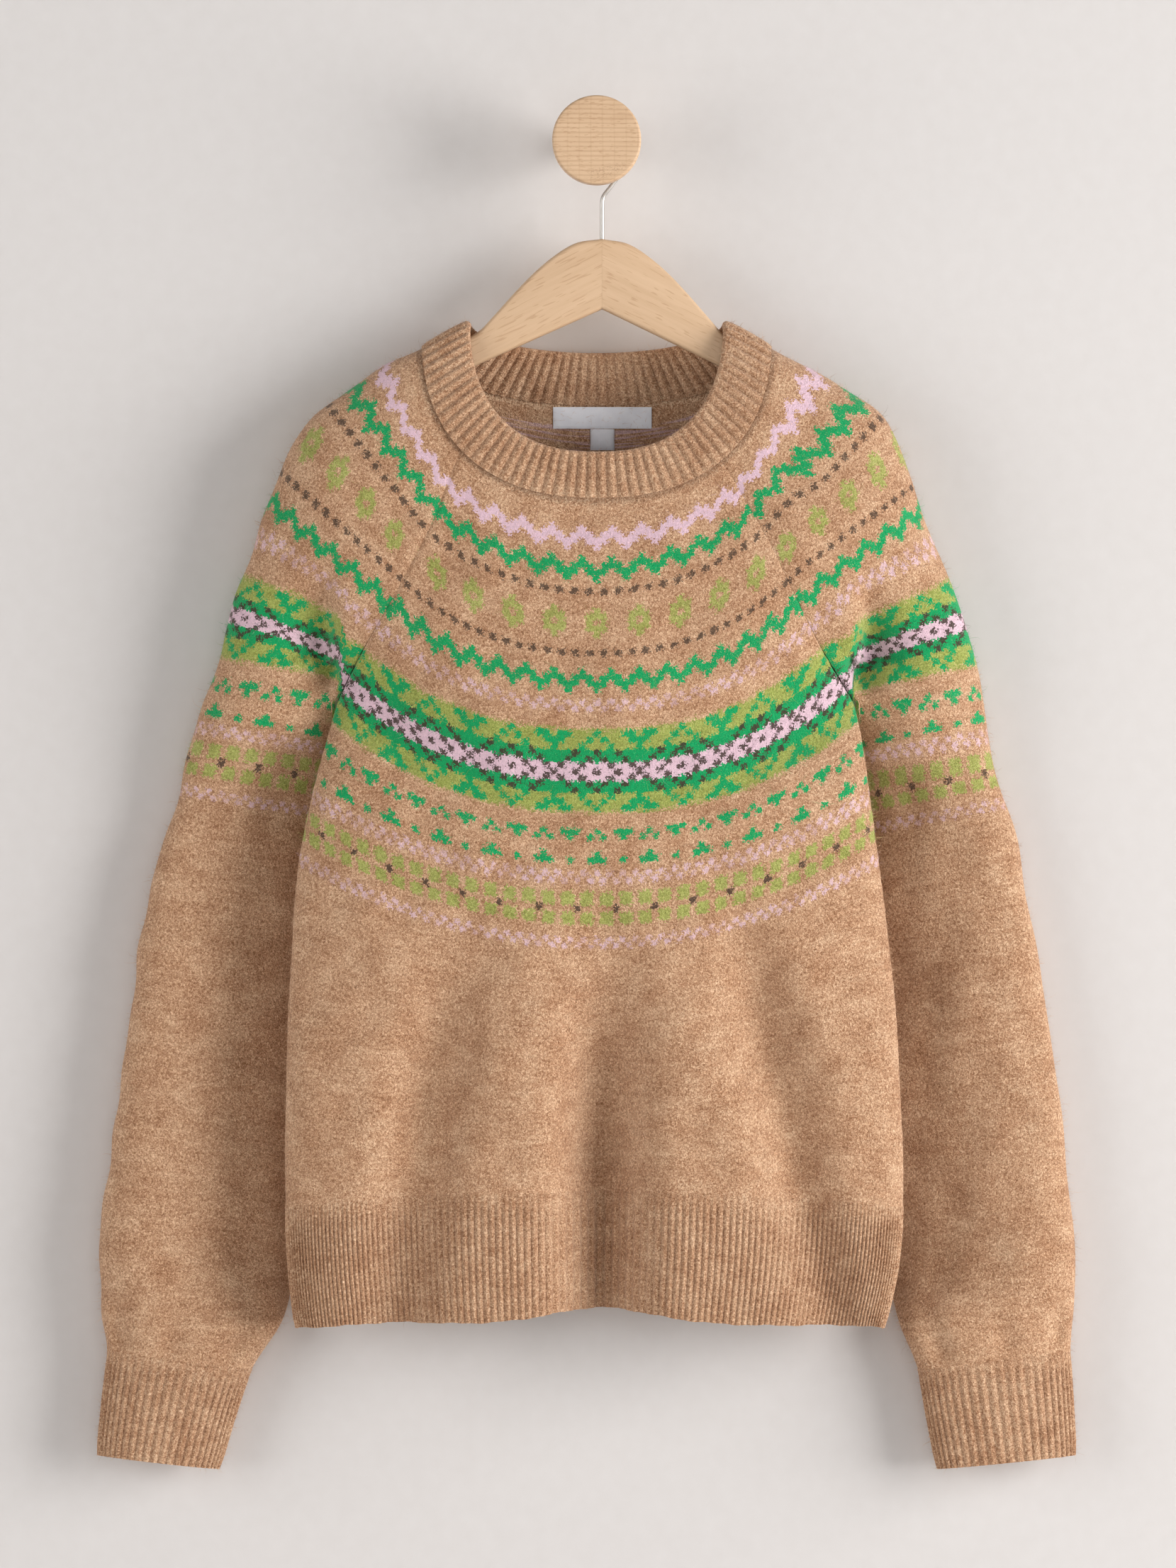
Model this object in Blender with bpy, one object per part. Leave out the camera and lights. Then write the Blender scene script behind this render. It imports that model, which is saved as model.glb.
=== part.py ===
"""A raglan fair isle sweater on a wooden hanger, hung on a round wall peg.

Metres, +Z up. The viewer looks along +Y and +X is the viewer's right. The wall is the plane y = 0
and the origin is on it, on the peg's axis. A depth is a distance out from the wall, so y = -depth.
Places on the cloth are given by row, counted in knitted rows down from the neck seam.
"""

import math

import bmesh
import bpy
import numpy as np

# Cloth
WALL = 0.0025            # thickness of the brushed knit
SEAM_GAP = 0.0003        # between pieces that are linked together
NECK_GAP = 0.0006        # under the neckband, whose ring turns sharply over the shoulders
RIB_RISE = 0.0009        # how far a rib stands out of its wall

# Knitted rows, counted from the neck seam
UNDERARM_ROW = 49.0
HEM_RIB_ROW = 121.0
HEM_ROW = 141.0
CUFF_ROW = 168.0
CUFF_END_ROW = 184.0

# Neckband
NECK_RIBS = 88
NECKBAND_THICK = 0.0046
# Where the raglan seams meet the neck ring, from the centre front; -1 is the viewer's left
FRONT_RAGLAN_ANGLE = {-1: 0.8400, 1: 0.7450}
BACK_RAGLAN_ANGLE = 2.4330
NECK_ROUND = 0.06        # rounds the neck rings where they pass over the shoulders

# Neck labels
LABEL_X = 0.0037
LABEL_WIDTH = 0.063
LABEL_HEIGHT = 0.0138
TAB_WIDTH = 0.0155
TAB_HEIGHT = 0.0135
LABEL_THICK = 0.0005

# Hanger, hook and peg
HANG_DEPTH = 0.042       # of the hanger's middle plane
HANGER_X = 0.0035
HANGER_THICK = 0.012
HANGER_ROUND = 0.003
HANGER_END = 0.178         # half its length
HANGER_TALLEST = 0.052
HANGER_TILT = math.tan(math.radians(1.1))
NOTCH_Z = -0.1063
NOTCH_SLOPE = 0.465
WIRE_RADIUS = 0.0014
WIRE_SIDES = 10
LOOP_RADIUS = 0.0185
LOOP_START = math.radians(-50.0)
LOOP_END = math.radians(205.0)
SHANK_BEND_Z = -0.0335
SHANK_IN_WOOD = 0.016
HOLE_CLEARANCE = 0.0003
STEM_RADIUS = 0.007
KNOB_RADIUS = 0.02825
KNOB_BACK = 0.056
KNOB_FRONT = 0.077
KNOB_ROUND = 0.0016


def table(names, *rows):
    """A table as a dictionary of columns."""
    return {name: np.array(column) for name, column in zip(names.split(), zip(*rows))}


# The neckband's seam, then its folded edge; side_z is their height over the shoulders.
NECK_RINGS = table(
    "half_width side_z front_drop back_drop front_depth back_depth power",
    (0.1110, -0.1310, 0.0965, 0.0355, 0.0760, 0.0120, 2.30),
    (0.0810, -0.1140, 0.0835, 0.0190, 0.0710, 0.0155, 2.45),
)
# The seam lines, one row for each place measured. left and right are distances from the middle.
FRONT_RAGLAN = table(
    "row left right z depth",
    (0.0, 0.0850, 0.0790, -0.2060, 0.0728),
    (8.0, 0.0965, 0.0930, -0.2270, 0.0735),
    (18.0, 0.1115, 0.1110, -0.2575, 0.0735),
    (28.0, 0.1290, 0.1265, -0.2900, 0.0705),
    (38.0, 0.1490, 0.1440, -0.3240, 0.0610),
    (49.0, 0.1665, 0.1650, -0.3580, 0.0430),
)
BACK_RAGLAN = table(
    "row left right z depth",
    (0.0, 0.0722, 0.0722, -0.1554, 0.0145),
    (8.0, 0.0870, 0.0870, -0.1830, 0.0150),
    (18.0, 0.1050, 0.1050, -0.2190, 0.0135),
    (28.0, 0.1240, 0.1235, -0.2590, 0.0150),
    (38.0, 0.1455, 0.1440, -0.3050, 0.0230),
    (49.0, 0.1665, 0.1650, -0.3580, 0.0430),
)
SIDE_SEAM = table(
    "row left right z depth",
    (49.0, 0.1665, 0.1650, -0.3580, 0.0430),
    (53.0, 0.1715, 0.1690, -0.3765, 0.0510),
    (60.0, 0.1800, 0.1735, -0.4085, 0.0545),
    (73.0, 0.1900, 0.1800, -0.4575, 0.0550),
    (90.0, 0.1960, 0.1895, -0.5360, 0.0550),
    (105.0, 0.1985, 0.1940, -0.6050, 0.0550),
    (121.0, 0.1985, 0.1955, -0.6780, 0.0550),
    (131.0, 0.1965, 0.1920, -0.7180, 0.0545),
    (141.0, 0.1925, 0.1840, -0.7555, 0.0530),
)
CENTRE_FRONT = table(
    "row z depth bow",
    (0.0, -0.2275, 0.0760, 1.95),
    (15.0, -0.2850, 0.0820, 2.10),
    (30.0, -0.3435, 0.0860, 2.30),
    (49.0, -0.4180, 0.0880, 2.40),
    (60.0, -0.4605, 0.0880, 2.20),
    (73.0, -0.5110, 0.0880, 2.00),
    (97.0, -0.5870, 0.0880, 2.00),
    (121.0, -0.6680, 0.0870, 2.00),
    (141.0, -0.7515, 0.0860, 2.00),
)
CENTRE_BACK = table(
    "row z depth bow",
    (0.0, -0.1620, 0.0120, 2.00),
    (15.0, -0.2300, 0.0110, 2.00),
    (30.0, -0.2960, 0.0110, 2.00),
    (49.0, -0.3760, 0.0110, 2.00),
    (73.0, -0.4720, 0.0120, 2.00),
    (97.0, -0.5720, 0.0120, 2.00),
    (121.0, -0.6620, 0.0120, 2.00),
    (141.0, -0.7380, 0.0120, 2.00),
)
# The line over the shoulder and down the outside of the sleeve; full is the half thickness there.
SLEEVE_OUTER = table(
    "row left right z depth full",
    (0.0, 0.1110, 0.1110, -0.1310, 0.0420, 0.0260),
    (7.0, 0.1370, 0.1330, -0.1440, 0.0420, 0.0300),
    (12.5, 0.1610, 0.1590, -0.1590, 0.0420, 0.0320),
    (17.5, 0.1815, 0.1820, -0.1745, 0.0420, 0.0330),
    (21.0, 0.1910, 0.1910, -0.1890, 0.0415, 0.0330),
    (25.5, 0.2025, 0.2000, -0.2130, 0.0400, 0.0320),
    (31.0, 0.2115, 0.2080, -0.2350, 0.0385, 0.0310),
    (36.0, 0.2235, 0.2205, -0.2670, 0.0365, 0.0295),
    (44.5, 0.2360, 0.2350, -0.3070, 0.0330, 0.0265),
    (49.0, 0.2400, 0.2390, -0.3240, 0.0310, 0.0245),
    (60.0, 0.2540, 0.2485, -0.3650, 0.0275, 0.0210),
    (73.0, 0.2670, 0.2590, -0.4110, 0.0255, 0.0195),
    (90.0, 0.2845, 0.2745, -0.4760, 0.0250, 0.0190),
    (110.0, 0.2975, 0.2880, -0.5520, 0.0250, 0.0190),
    (130.0, 0.3080, 0.2975, -0.6280, 0.0250, 0.0190),
    (148.0, 0.3165, 0.3045, -0.6960, 0.0250, 0.0190),
    (160.0, 0.3170, 0.3055, -0.7400, 0.0250, 0.0185),
    (168.0, 0.3130, 0.3030, -0.7710, 0.0245, 0.0155),
    (176.0, 0.3160, 0.3045, -0.8030, 0.0240, 0.0140),
    (184.0, 0.3195, 0.3065, -0.8380, 0.0240, 0.0135),
)
SLEEVE_INNER = table(
    "row left right z depth",
    (49.0, 0.1665, 0.1650, -0.3580, 0.0430),
    (53.0, 0.1665, 0.1655, -0.3700, 0.0340),
    (60.0, 0.1690, 0.1680, -0.3920, 0.0270),
    (73.0, 0.1740, 0.1715, -0.4290, 0.0250),
    (90.0, 0.1790, 0.1760, -0.4930, 0.0250),
    (110.0, 0.1840, 0.1800, -0.5680, 0.0250),
    (130.0, 0.1880, 0.1835, -0.6430, 0.0250),
    (148.0, 0.1940, 0.1865, -0.7120, 0.0250),
    (160.0, 0.2010, 0.1930, -0.7530, 0.0250),
    (168.0, 0.2200, 0.2050, -0.7830, 0.0245),
    (176.0, 0.2310, 0.2110, -0.8130, 0.0240),
    (184.0, 0.2410, 0.2175, -0.8470, 0.0240),
)
# Soft troughs in the body. They begin at z_top, reach their depth at z_full and run on to the hem,
# which they lift.
FRONT_FOLDS = table(
    "z_top z_full x_top x_hem half_width depth lift",
    (-0.490, -0.600, -0.088, -0.128, 0.025, 0.0100, 0.0020),
    (-0.480, -0.680, 0.006, 0.003, 0.022, 0.0190, 0.0090),
    (-0.470, -0.600, 0.085, 0.156, 0.021, 0.0120, 0.0010),
)
BACK_FOLDS = table(
    "z_top z_full x_top x_hem half_width depth lift",
    (-0.460, -0.640, -0.060, -0.095, 0.024, 0.0090, 0.0),
    (-0.490, -0.680, 0.045, 0.030, 0.022, 0.0110, 0.0),
    (-0.470, -0.620, 0.115, 0.135, 0.020, 0.0070, 0.0),
)
# Gathers where a full sleeve meets its cuff, by their place round the sleeve.
CUFF_GATHERS = table(
    "around half_width depth",
    (-0.72, 0.060, 0.0040),
    (-0.45, 0.050, 0.0030),
    (-0.20, 0.055, 0.0035),
    (0.25, 0.055, 0.0035),
    (0.50, 0.050, 0.0030),
    (0.75, 0.060, 0.0035),
)
GATHER_ROWS = 12.0
# The crease that begins on the sleeve, beside the body
CREASE_X = 0.1610
CREASE_Z = -0.2950
CREASE_LOW_X = 0.1680
CREASE_LOW_Z = -0.3400
CREASE_DEPTH = 0.009
CREASE_HALF_WIDTH = 0.011
BEHIND_BODY = 0.0015     # from the sleeve to the body where it lies behind it
# The hanger's upper edge, from its middle outwards.
HANGER_TOP = table(
    "x z",
    (0.0000, -0.0615),
    (0.0180, -0.0650),
    (0.0320, -0.0740),
    (0.0435, -0.0840),
    (0.0550, -0.0960),
    (0.0685, -0.1112),
    (0.0780, -0.1214),
    (0.0840, -0.1252),
    (0.0920, -0.1302),
    (0.1000, -0.1351),
    (0.1060, -0.1400),
    (0.1120, -0.1434),
    (0.1200, -0.1472),
    (0.1300, -0.1495),
    (0.1420, -0.1543),
    (0.1540, -0.1609),
    (0.1660, -0.1700),
    (0.1720, -0.1757),
    (0.1760, -0.1806),
    (0.1780, -0.1840),
)

# Rows and columns of each wall's grid
BODY_ROWS = (0, 4, 9, 15, 21, 27, 33, 38, 42, 45, 49, 51, 54, 59, 66, 74, 84, 96, 108, 121)
SLEEVE_ROWS = (0, 4, 9, 14, 20, 26, 32, 37, 41, 45, 49, 51, 54, 58, 63, 70, 80, 94, 110, 126,
               142, 155, 162, 168)
FRONT_COLUMNS = 26
BACK_COLUMNS = 20
SLEEVE_COLUMNS = 20
HEM_RIBS = 116
HEM_RIB_ROWS = (HEM_RIB_ROW, HEM_ROW)
HEM_INNER_COLUMNS = 29
CUFF_RIBS = 48
CUFF_ROWS = (CUFF_ROW, CUFF_END_ROW)

CAMEL = (0.600, 0.385, 0.235, 1.0)
LABEL_WHITE = (0.80, 0.81, 0.84, 1.0)
BEECH = (0.800, 0.600, 0.370, 1.0)
STEEL = (0.62, 0.60, 0.56, 1.0)


def smooth(table_, column, at):
    """A table's column at any row: a cubic through the rows, with slopes from their neighbours."""
    xs, ys = table_["row"], table_[column]
    slopes = np.gradient(ys, xs)
    i = np.clip(np.searchsorted(xs, at, side="right") - 1, 0, len(xs) - 2)
    step = xs[i + 1] - xs[i]
    t = np.clip((at - xs[i]) / step, 0.0, 1.0)
    rise = ys[i + 1] - ys[i]
    inner = (slopes[i] * step - rise) * (1 - t) - (slopes[i + 1] * step - rise) * t
    return ys[i] + t * rise + t * (1 - t) * inner


def ease(low, high, value):
    """0 below low, 1 above high, and smooth between."""
    t = np.clip((value - low) / (high - low), 0.0, 1.0)
    return t * t * (3 - 2 * t)


def unit(vectors):
    return vectors / np.maximum(np.linalg.norm(vectors, axis=-1, keepdims=True), 1e-12)


def line(table_, row, side):
    """Points (x, depth, z) on a seam line; side is -1 for the viewer's left and 1 for the right."""
    column = "left" if side < 0 else "right"
    return np.stack([side * smooth(table_, column, row), smooth(table_, "depth", row),
                     smooth(table_, "z", row)], axis=-1)


def joined_line(upper, lower, row, side):
    """A raglan seam down to the underarm, and the seam that runs on below it."""
    below = (row > UNDERARM_ROW)[..., None]
    return np.where(below, line(lower, row, side), line(upper, row, side))


def neck_ring(angle, ring, place):
    """A ring round the neck, from 0 at the centre front to pi at the centre back: a superellipse at
    the front and an ellipse at the back, highest over the shoulders, where it crosses level."""
    front = np.cos(angle) >= 0
    reach = np.sqrt(np.cos(angle) ** 2 + NECK_ROUND ** 2) - NECK_ROUND
    reach = reach / (math.sqrt(1 + NECK_ROUND ** 2) - NECK_ROUND)
    shape = np.where(front, 2 / ring["power"][place], 1.0)
    drop = np.where(front, ring["front_drop"][place], ring["back_drop"][place])
    depth = np.where(front, ring["front_depth"][place], ring["back_depth"][place])
    x = ring["half_width"][place] * np.sign(np.sin(angle)) * np.abs(np.sin(angle)) ** shape
    return np.stack([x, HANG_DEPTH + (depth - HANG_DEPTH) * reach ** 0.32,
                     ring["side_z"][place] - drop * reach ** shape], axis=-1)


def seam_ring(angle):
    return neck_ring(angle, NECK_RINGS, 0)


def edge_ring(angle):
    return neck_ring(angle, NECK_RINGS, 1)


def fold_offsets(folds, x, z):
    """How far the troughs of a panel sink at these places, and how far they lift it: a bell across
    each trough, twice as wide for the lift."""
    hem_z = SIDE_SEAM["z"][-1]
    sunk, lifted = np.zeros(x.shape), np.zeros(x.shape)
    for z_top, z_full, x_top, x_hem, half_width, depth, lift in zip(*folds.values()):
        middle = x_top + (x_hem - x_top) * np.clip((z_top - z) / (z_top - hem_z), 0.0, 1.0)
        away = ((x - middle) / half_width) ** 2
        sunk = sunk + depth * ease(-z_top, -z_full, -z) * np.exp(-away)
        lifted = lifted + lift * ease(-z_full, -hem_z, -z) * np.exp(-away / 4)
    return sunk, lifted


def body_surface(row, across, front):
    """Outer face of the front or back panel. across runs from -1 at the left seam to 1 at the right.

    Each row bows down from its two seams to the middle, and stands out from them as a low arch on
    the yoke and as half of a flattened tube below the underarm."""
    raglan, centre = (FRONT_RAGLAN, CENTRE_FRONT) if front else (BACK_RAGLAN, CENTRE_BACK)
    left, right = (joined_line(raglan, SIDE_SEAM, row, side) for side in (-1, 1))
    share = 0.35 * across + 0.65 * np.sin(across * math.pi / 2)
    edge = np.where((across < 0)[..., None], left, right)
    reach = np.abs(share)
    x = np.abs(edge[..., 0]) * share
    z_middle = smooth(centre, "z", row)
    z = z_middle + (edge[..., 2] - z_middle) * reach ** smooth(centre, "bow", row)
    arch = body_arch(row, reach)
    depth = edge[..., 1] + (smooth(centre, "depth", row) - edge[..., 1]) * arch
    way = 1 if front else -1
    sunk, lifted = fold_offsets(FRONT_FOLDS if front else BACK_FOLDS, x, z)
    return np.stack([x, depth - way * sunk * arch, z + lifted], axis=-1)


def sleeve_surface(row, around, side):
    """Outer face of a sleeve. around runs from -1 at the front seam over the shoulder line at 0 to 1
    at the back seam.

    Each row is an arc that starts at a seam and ends level with the shoulder line. On the yoke the
    arc is a quarter of an ellipse; below the underarm it opens to a half, and the two make a tube."""
    outer = line(SLEEVE_OUTER, row, side)
    full = smooth(SLEEVE_OUTER, "full", row)
    halves = []
    for raglan, way in ((FRONT_RAGLAN, 1.0), (BACK_RAGLAN, -1.0)):
        seam = joined_line(raglan, SLEEVE_INNER, row, side)
        start = -math.pi / 2 * ease(38.0, 60.0, row)
        angle = start + (math.pi / 2 - start) * (1 - np.abs(around))
        share = ((np.sin(angle) - np.sin(start)) / (1 - np.sin(start)))[..., None]
        point = seam + (outer - seam) * share
        bulge = np.cos(angle) - (1 - share[..., 0]) * np.cos(start)
        point[..., 1] += way * full * bulge
        halves.append(point)
    point = np.where((around < 0)[..., None], halves[0], halves[1])
    point = point + gather_offset(row, around, outer, side)
    return behind_body(point, around, side)


def behind_body(point, around, side):
    """The sleeve's crease beside the body: a trough that begins on the yoke, and below the underarm
    a limit that keeps the sleeve behind the body's rounded side."""
    reach, z = np.abs(point[..., 0]), point[..., 2]
    column = "left" if side < 0 else "right"
    row = np.interp(-z, -SIDE_SEAM["z"], SIDE_SEAM["row"])
    edge, seam_depth = smooth(SIDE_SEAM, column, row), smooth(SIDE_SEAM, "depth", row)
    middle = np.where(z > CREASE_LOW_Z, CREASE_X + (CREASE_LOW_X - CREASE_X)
                      * (CREASE_Z - z) / (CREASE_Z - CREASE_LOW_Z), edge + 0.002)
    sunk = CREASE_DEPTH * ease(-CREASE_Z, -CREASE_LOW_Z, -z) * (1 - ease(0.322, 0.352, -z))
    sunk = sunk * np.exp(-(((reach - middle) / CREASE_HALF_WIDTH) ** 2)) * (around < 0)
    depth = point[..., 1] - sunk * ease(0.0, 0.10, 1 - np.abs(around))
    share = np.minimum(reach / edge, 1.0)
    back = seam_depth - (seam_depth - smooth(CENTRE_BACK, "depth", row)) * body_arch(row, share)
    limit = back - BEHIND_BODY + 2.5 * np.maximum(reach - edge, 0.0)
    limit = np.where(z < SIDE_SEAM["z"][0], limit, 1.0)
    blend = np.clip(0.5 + (limit - depth) / 0.004, 0.0, 1.0)
    low = limit + (depth - limit) * blend - 0.002 * blend * (1 - blend)
    point[..., 1] = np.where(np.abs(around) < 1.0, low, depth)
    return point


def body_arch(row, reach):
    """How far the body stands out of the plane of its seams, as a share: a low arch on the yoke,
    half of a flattened tube below the underarm."""
    tube = ease(34.0, 58.0, row)
    return (1 - tube) * (1 - reach ** 2) + tube * (1 - reach ** 2.3) ** (1 / 2.3)


def gather_offset(row, around, outer, side):
    """The gathers above a cuff, which sink towards the middle of the sleeve."""
    near = ease(CUFF_ROW - GATHER_ROWS, CUFF_ROW - 2.0, row) * (1 - ease(CUFF_ROW - 2.0, CUFF_ROW, row))
    sunk = np.zeros(near.shape)
    for place, half_width, depth in zip(*CUFF_GATHERS.values()):
        sunk = sunk + depth * np.exp(-(((around - place) / half_width) ** 2))
    offset = np.zeros(outer.shape)
    offset[..., 1] = sunk * near * np.sign(around)
    return offset


def on_neck(points, row, angles, fade_rows=14.0):
    """Draws the first rows of a panel onto the neck ring, which all the panels and the band share."""
    fade = 1 - ease(0.0, fade_rows, row)[..., None]
    return points + fade * (seam_ring(angles) - points[:1])


def grid(rows, columns):
    row, across = np.meshgrid(np.array(rows, float), np.linspace(-1.0, 1.0, columns + 1), indexing="ij")
    return row, across


def panel(rows, columns, front):
    row, across = grid(rows, columns)
    if front:
        angles = np.where(across < 0, FRONT_RAGLAN_ANGLE[-1], FRONT_RAGLAN_ANGLE[1]) * across
    else:
        angles = np.sign(across + 1e-12) * (math.pi - (math.pi - BACK_RAGLAN_ANGLE) * np.abs(across))
    points = body_surface(row, across, front)
    if rows[0] > 0:
        return points
    return on_neck(points, row, angles)


def sleeve(rows, columns, side):
    row, around = grid(rows, columns)
    first = FRONT_RAGLAN_ANGLE[side]
    angles = side * (first + (BACK_RAGLAN_ANGLE - first) * (around + 1) / 2)
    points = sleeve_surface(row, around, side)
    if rows[0] > 0:
        return points
    return on_neck(points, row, angles)


def grid_normals(points, outward):
    """Unit normals of a grid of points, turned so that they agree with the outward guide."""
    normals = unit(np.cross(np.gradient(points, axis=0), np.gradient(points, axis=1)))
    if (normals * outward).sum() < 0:
        normals = -normals
    return normals


def level(normals):
    """The same normals turned level, for the rows where two walls are linked end to end."""
    return unit(normals * np.array([1.0, 1.0, 0.0]))


def underarm_normals(shared, own, rows, across):
    """Normals along a panel's edge: shared with the next panel on the yoke, its own towards the
    underarm, where the seam is a valley, and straight across from there down."""
    rows = np.array(rows, float)
    valley = ease(34.0, 44.0, rows)[:, None]
    below = ease(44.0, UNDERARM_ROW - 1.0, rows)[:, None]
    return unit((shared * (1 - valley) + own * valley) * (1 - below) + across * below)


def wall_thickness(rows, columns):
    """The wall's thickness over a panel's grid, less round the underarm corners."""
    near = np.exp(-(((np.array(rows, float) - UNDERARM_ROW - 1.0) / 6.0) ** 2))[:, None]
    corner = np.exp(-(((1 - np.abs(np.linspace(-1.0, 1.0, columns))) / 0.25) ** 2))[None, :]
    thick = WALL * (1 - 0.5 * near * corner)
    thick[:, 0] = thick[:, -1] = WALL
    return thick[..., None]


def pulled_in(points, gap):
    """The same grid with its four edges drawn in by the gap, so that linked pieces stay apart."""
    points = points.copy()
    for first, second in ((0, 1), (-1, -2)):
        points[first] += unit(points[second] - points[first]) * gap
    for first, second in ((0, 1), (-1, -2)):
        points[:, first] += unit(points[:, second] - points[:, first]) * gap
    return points


def to_world(points):
    """(x, depth, z) as (x, y, z)."""
    return points * np.array([1.0, -1.0, 1.0])


def make_object(name, points, faces, colour, roughness, metallic=0.0):
    mesh = bpy.data.meshes.new(name)
    mesh.from_pydata([tuple(p) for p in points], [], faces)
    shell = bmesh.new()
    shell.from_mesh(mesh)
    bmesh.ops.recalc_face_normals(shell, faces=shell.faces)
    shell.to_mesh(mesh)
    shell.free()
    mesh.shade_smooth()
    item = bpy.data.objects.new(name, mesh)
    bpy.context.scene.collection.objects.link(item)
    mesh.materials.append(finish(name, colour, roughness, metallic))
    return item


def finish(name, colour, roughness, metallic):
    made = bpy.data.materials.new(name + "_finish")
    made.use_nodes = True
    shader = made.node_tree.nodes["Principled BSDF"]
    shader.inputs["Base Color"].default_value = colour
    shader.inputs["Roughness"].default_value = roughness
    shader.inputs["Metallic"].default_value = metallic
    return made


def rim(outer, inner):
    """Triangles between two lines of vertex numbers, where outer has a whole number of times as
    many steps as inner."""
    times = (len(outer) - 1) // (len(inner) - 1)
    faces = []
    for j in range(len(outer) - 1):
        i = j // times
        faces.append((outer[j], outer[j + 1], inner[i]))
        if (j + 1) % times == 0:
            faces.append((outer[j + 1], inner[i + 1], inner[i]))
    return faces


def grid_faces(numbers):
    """Quads over a grid of vertex numbers."""
    return [(numbers[i, j], numbers[i, j + 1], numbers[i + 1, j + 1], numbers[i + 1, j])
            for i in range(numbers.shape[0] - 1) for j in range(numbers.shape[1] - 1)]


def wall(name, outer, inner, colour=CAMEL, roughness=0.95):
    """A closed wall between two grids of (x, depth, z) with the same number of rows."""
    out_numbers = np.arange(outer.shape[0] * outer.shape[1]).reshape(outer.shape[:2])
    in_numbers = out_numbers.size + np.arange(inner.shape[0] * inner.shape[1]).reshape(inner.shape[:2])
    faces = grid_faces(out_numbers) + [face[::-1] for face in grid_faces(in_numbers)]
    faces += rim(out_numbers[-1], in_numbers[-1])
    faces += [face[::-1] for face in rim(out_numbers[0], in_numbers[0])]
    faces += [face[::-1] for face in rim(out_numbers[:, -1], in_numbers[:, -1])]
    faces += rim(out_numbers[:, 0], in_numbers[:, 0])
    points = np.concatenate([outer.reshape(-1, 3), inner.reshape(-1, 3)])
    return make_object(name, to_world(points), [tuple(int(n) for n in f) for f in faces],
                       colour, roughness)


def ring_wall(name, sections, colour=CAMEL, roughness=0.95):
    """A closed ring from closed sections: an array of (section, point, 3)."""
    count, size = sections.shape[:2]
    faces = [(i * size + j, ((i + 1) % count) * size + j,
              ((i + 1) % count) * size + (j + 1) % size, i * size + (j + 1) % size)
             for i in range(count) for j in range(size)]
    return make_object(name, to_world(sections.reshape(-1, 3)), faces, colour, roughness)


def cloth_panels():
    """Front, back and both sleeves. Walls that meet at a seam are as thick along one shared line."""
    front, back = panel(BODY_ROWS, FRONT_COLUMNS, True), panel(BODY_ROWS, BACK_COLUMNS, False)
    sleeves = {side: sleeve(SLEEVE_ROWS, SLEEVE_COLUMNS, side) for side in (-1, 1)}
    normals = {"front": grid_normals(front, np.array([0.0, 1.0, 0.0])),
               "back": grid_normals(back, np.array([0.0, -1.0, 0.0]))}
    for side in (-1, 1):
        normals[side] = grid_normals(sleeves[side], np.array([side * 1.0, 0.0, 0.3]))
        out = np.array([side * 1.0, 0.0, 0.0])
        edge = 0 if side < 0 else -1
        for name, mine in (("front", 0), ("back", -1)):
            raglan = seam_normals(normals[name][:, edge], BODY_ROWS, normals[side][:, mine], SLEEVE_ROWS)
            normals[name][:, edge] = underarm_normals(raglan(BODY_ROWS), normals[name][:, edge],
                                                      BODY_ROWS, out)
            normals[side][:, mine] = underarm_normals(raglan(SLEEVE_ROWS), normals[side][:, mine],
                                                      SLEEVE_ROWS, -out)
    for name in normals:
        normals[name][-1] = level(normals[name][-1])
    for name, points, rows in (("front", front, BODY_ROWS), ("back", back, BODY_ROWS),
                               (-1, sleeves[-1], SLEEVE_ROWS), (1, sleeves[1], SLEEVE_ROWS)):
        title = {"front": "front", "back": "back", -1: "sleeve_left", 1: "sleeve_right"}[name]
        outer = pulled_in(points, SEAM_GAP / 2)
        wall(title, outer, outer - wall_thickness(rows, points.shape[1]) * normals[name])


def seam_normals(first, first_rows, second, second_rows):
    """The mean of two panels' normals along the seam that they share, as a function of the row."""
    def mean_at(rows):
        rows = np.minimum(np.array(rows, float), UNDERARM_ROW)
        return unit(np.stack([np.interp(rows, first_rows, first[:, k])
                              + np.interp(rows, second_rows, second[:, k]) for k in range(3)], axis=-1))
    return mean_at


def rib_rise(count, ribs):
    """Which of the points across a ribbed wall stand out: every other one is a rib."""
    return RIB_RISE * (np.arange(count) % 2)[:count] if ribs else np.zeros(count)


def hem_ribs():
    """The ribbed welt at the hem, one piece on the front and one on the back."""
    for name, front in (("hem_rib_front", True), ("hem_rib_back", False)):
        way = 1.0 if front else -1.0
        outer = panel(HEM_RIB_ROWS, HEM_RIBS * 2, front)
        inner = panel(HEM_RIB_ROWS, HEM_INNER_COLUMNS, front)
        walls = []
        for points in (outer, inner):
            normals = grid_normals(points, np.array([0.0, way, 0.0]))
            for edge, side in ((0, -1.0), (-1, 1.0)):
                normals[:, edge] = np.array([side, 0.0, 0.0])
            normals[0] = level(normals[0])
            walls.append((pulled_in(points, SEAM_GAP / 2), normals))
        raised = walls[0][0] + rib_rise(outer.shape[1], True)[None, :, None] * walls[0][1]
        wall(name, raised, walls[1][0] - WALL * walls[1][1])


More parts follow.
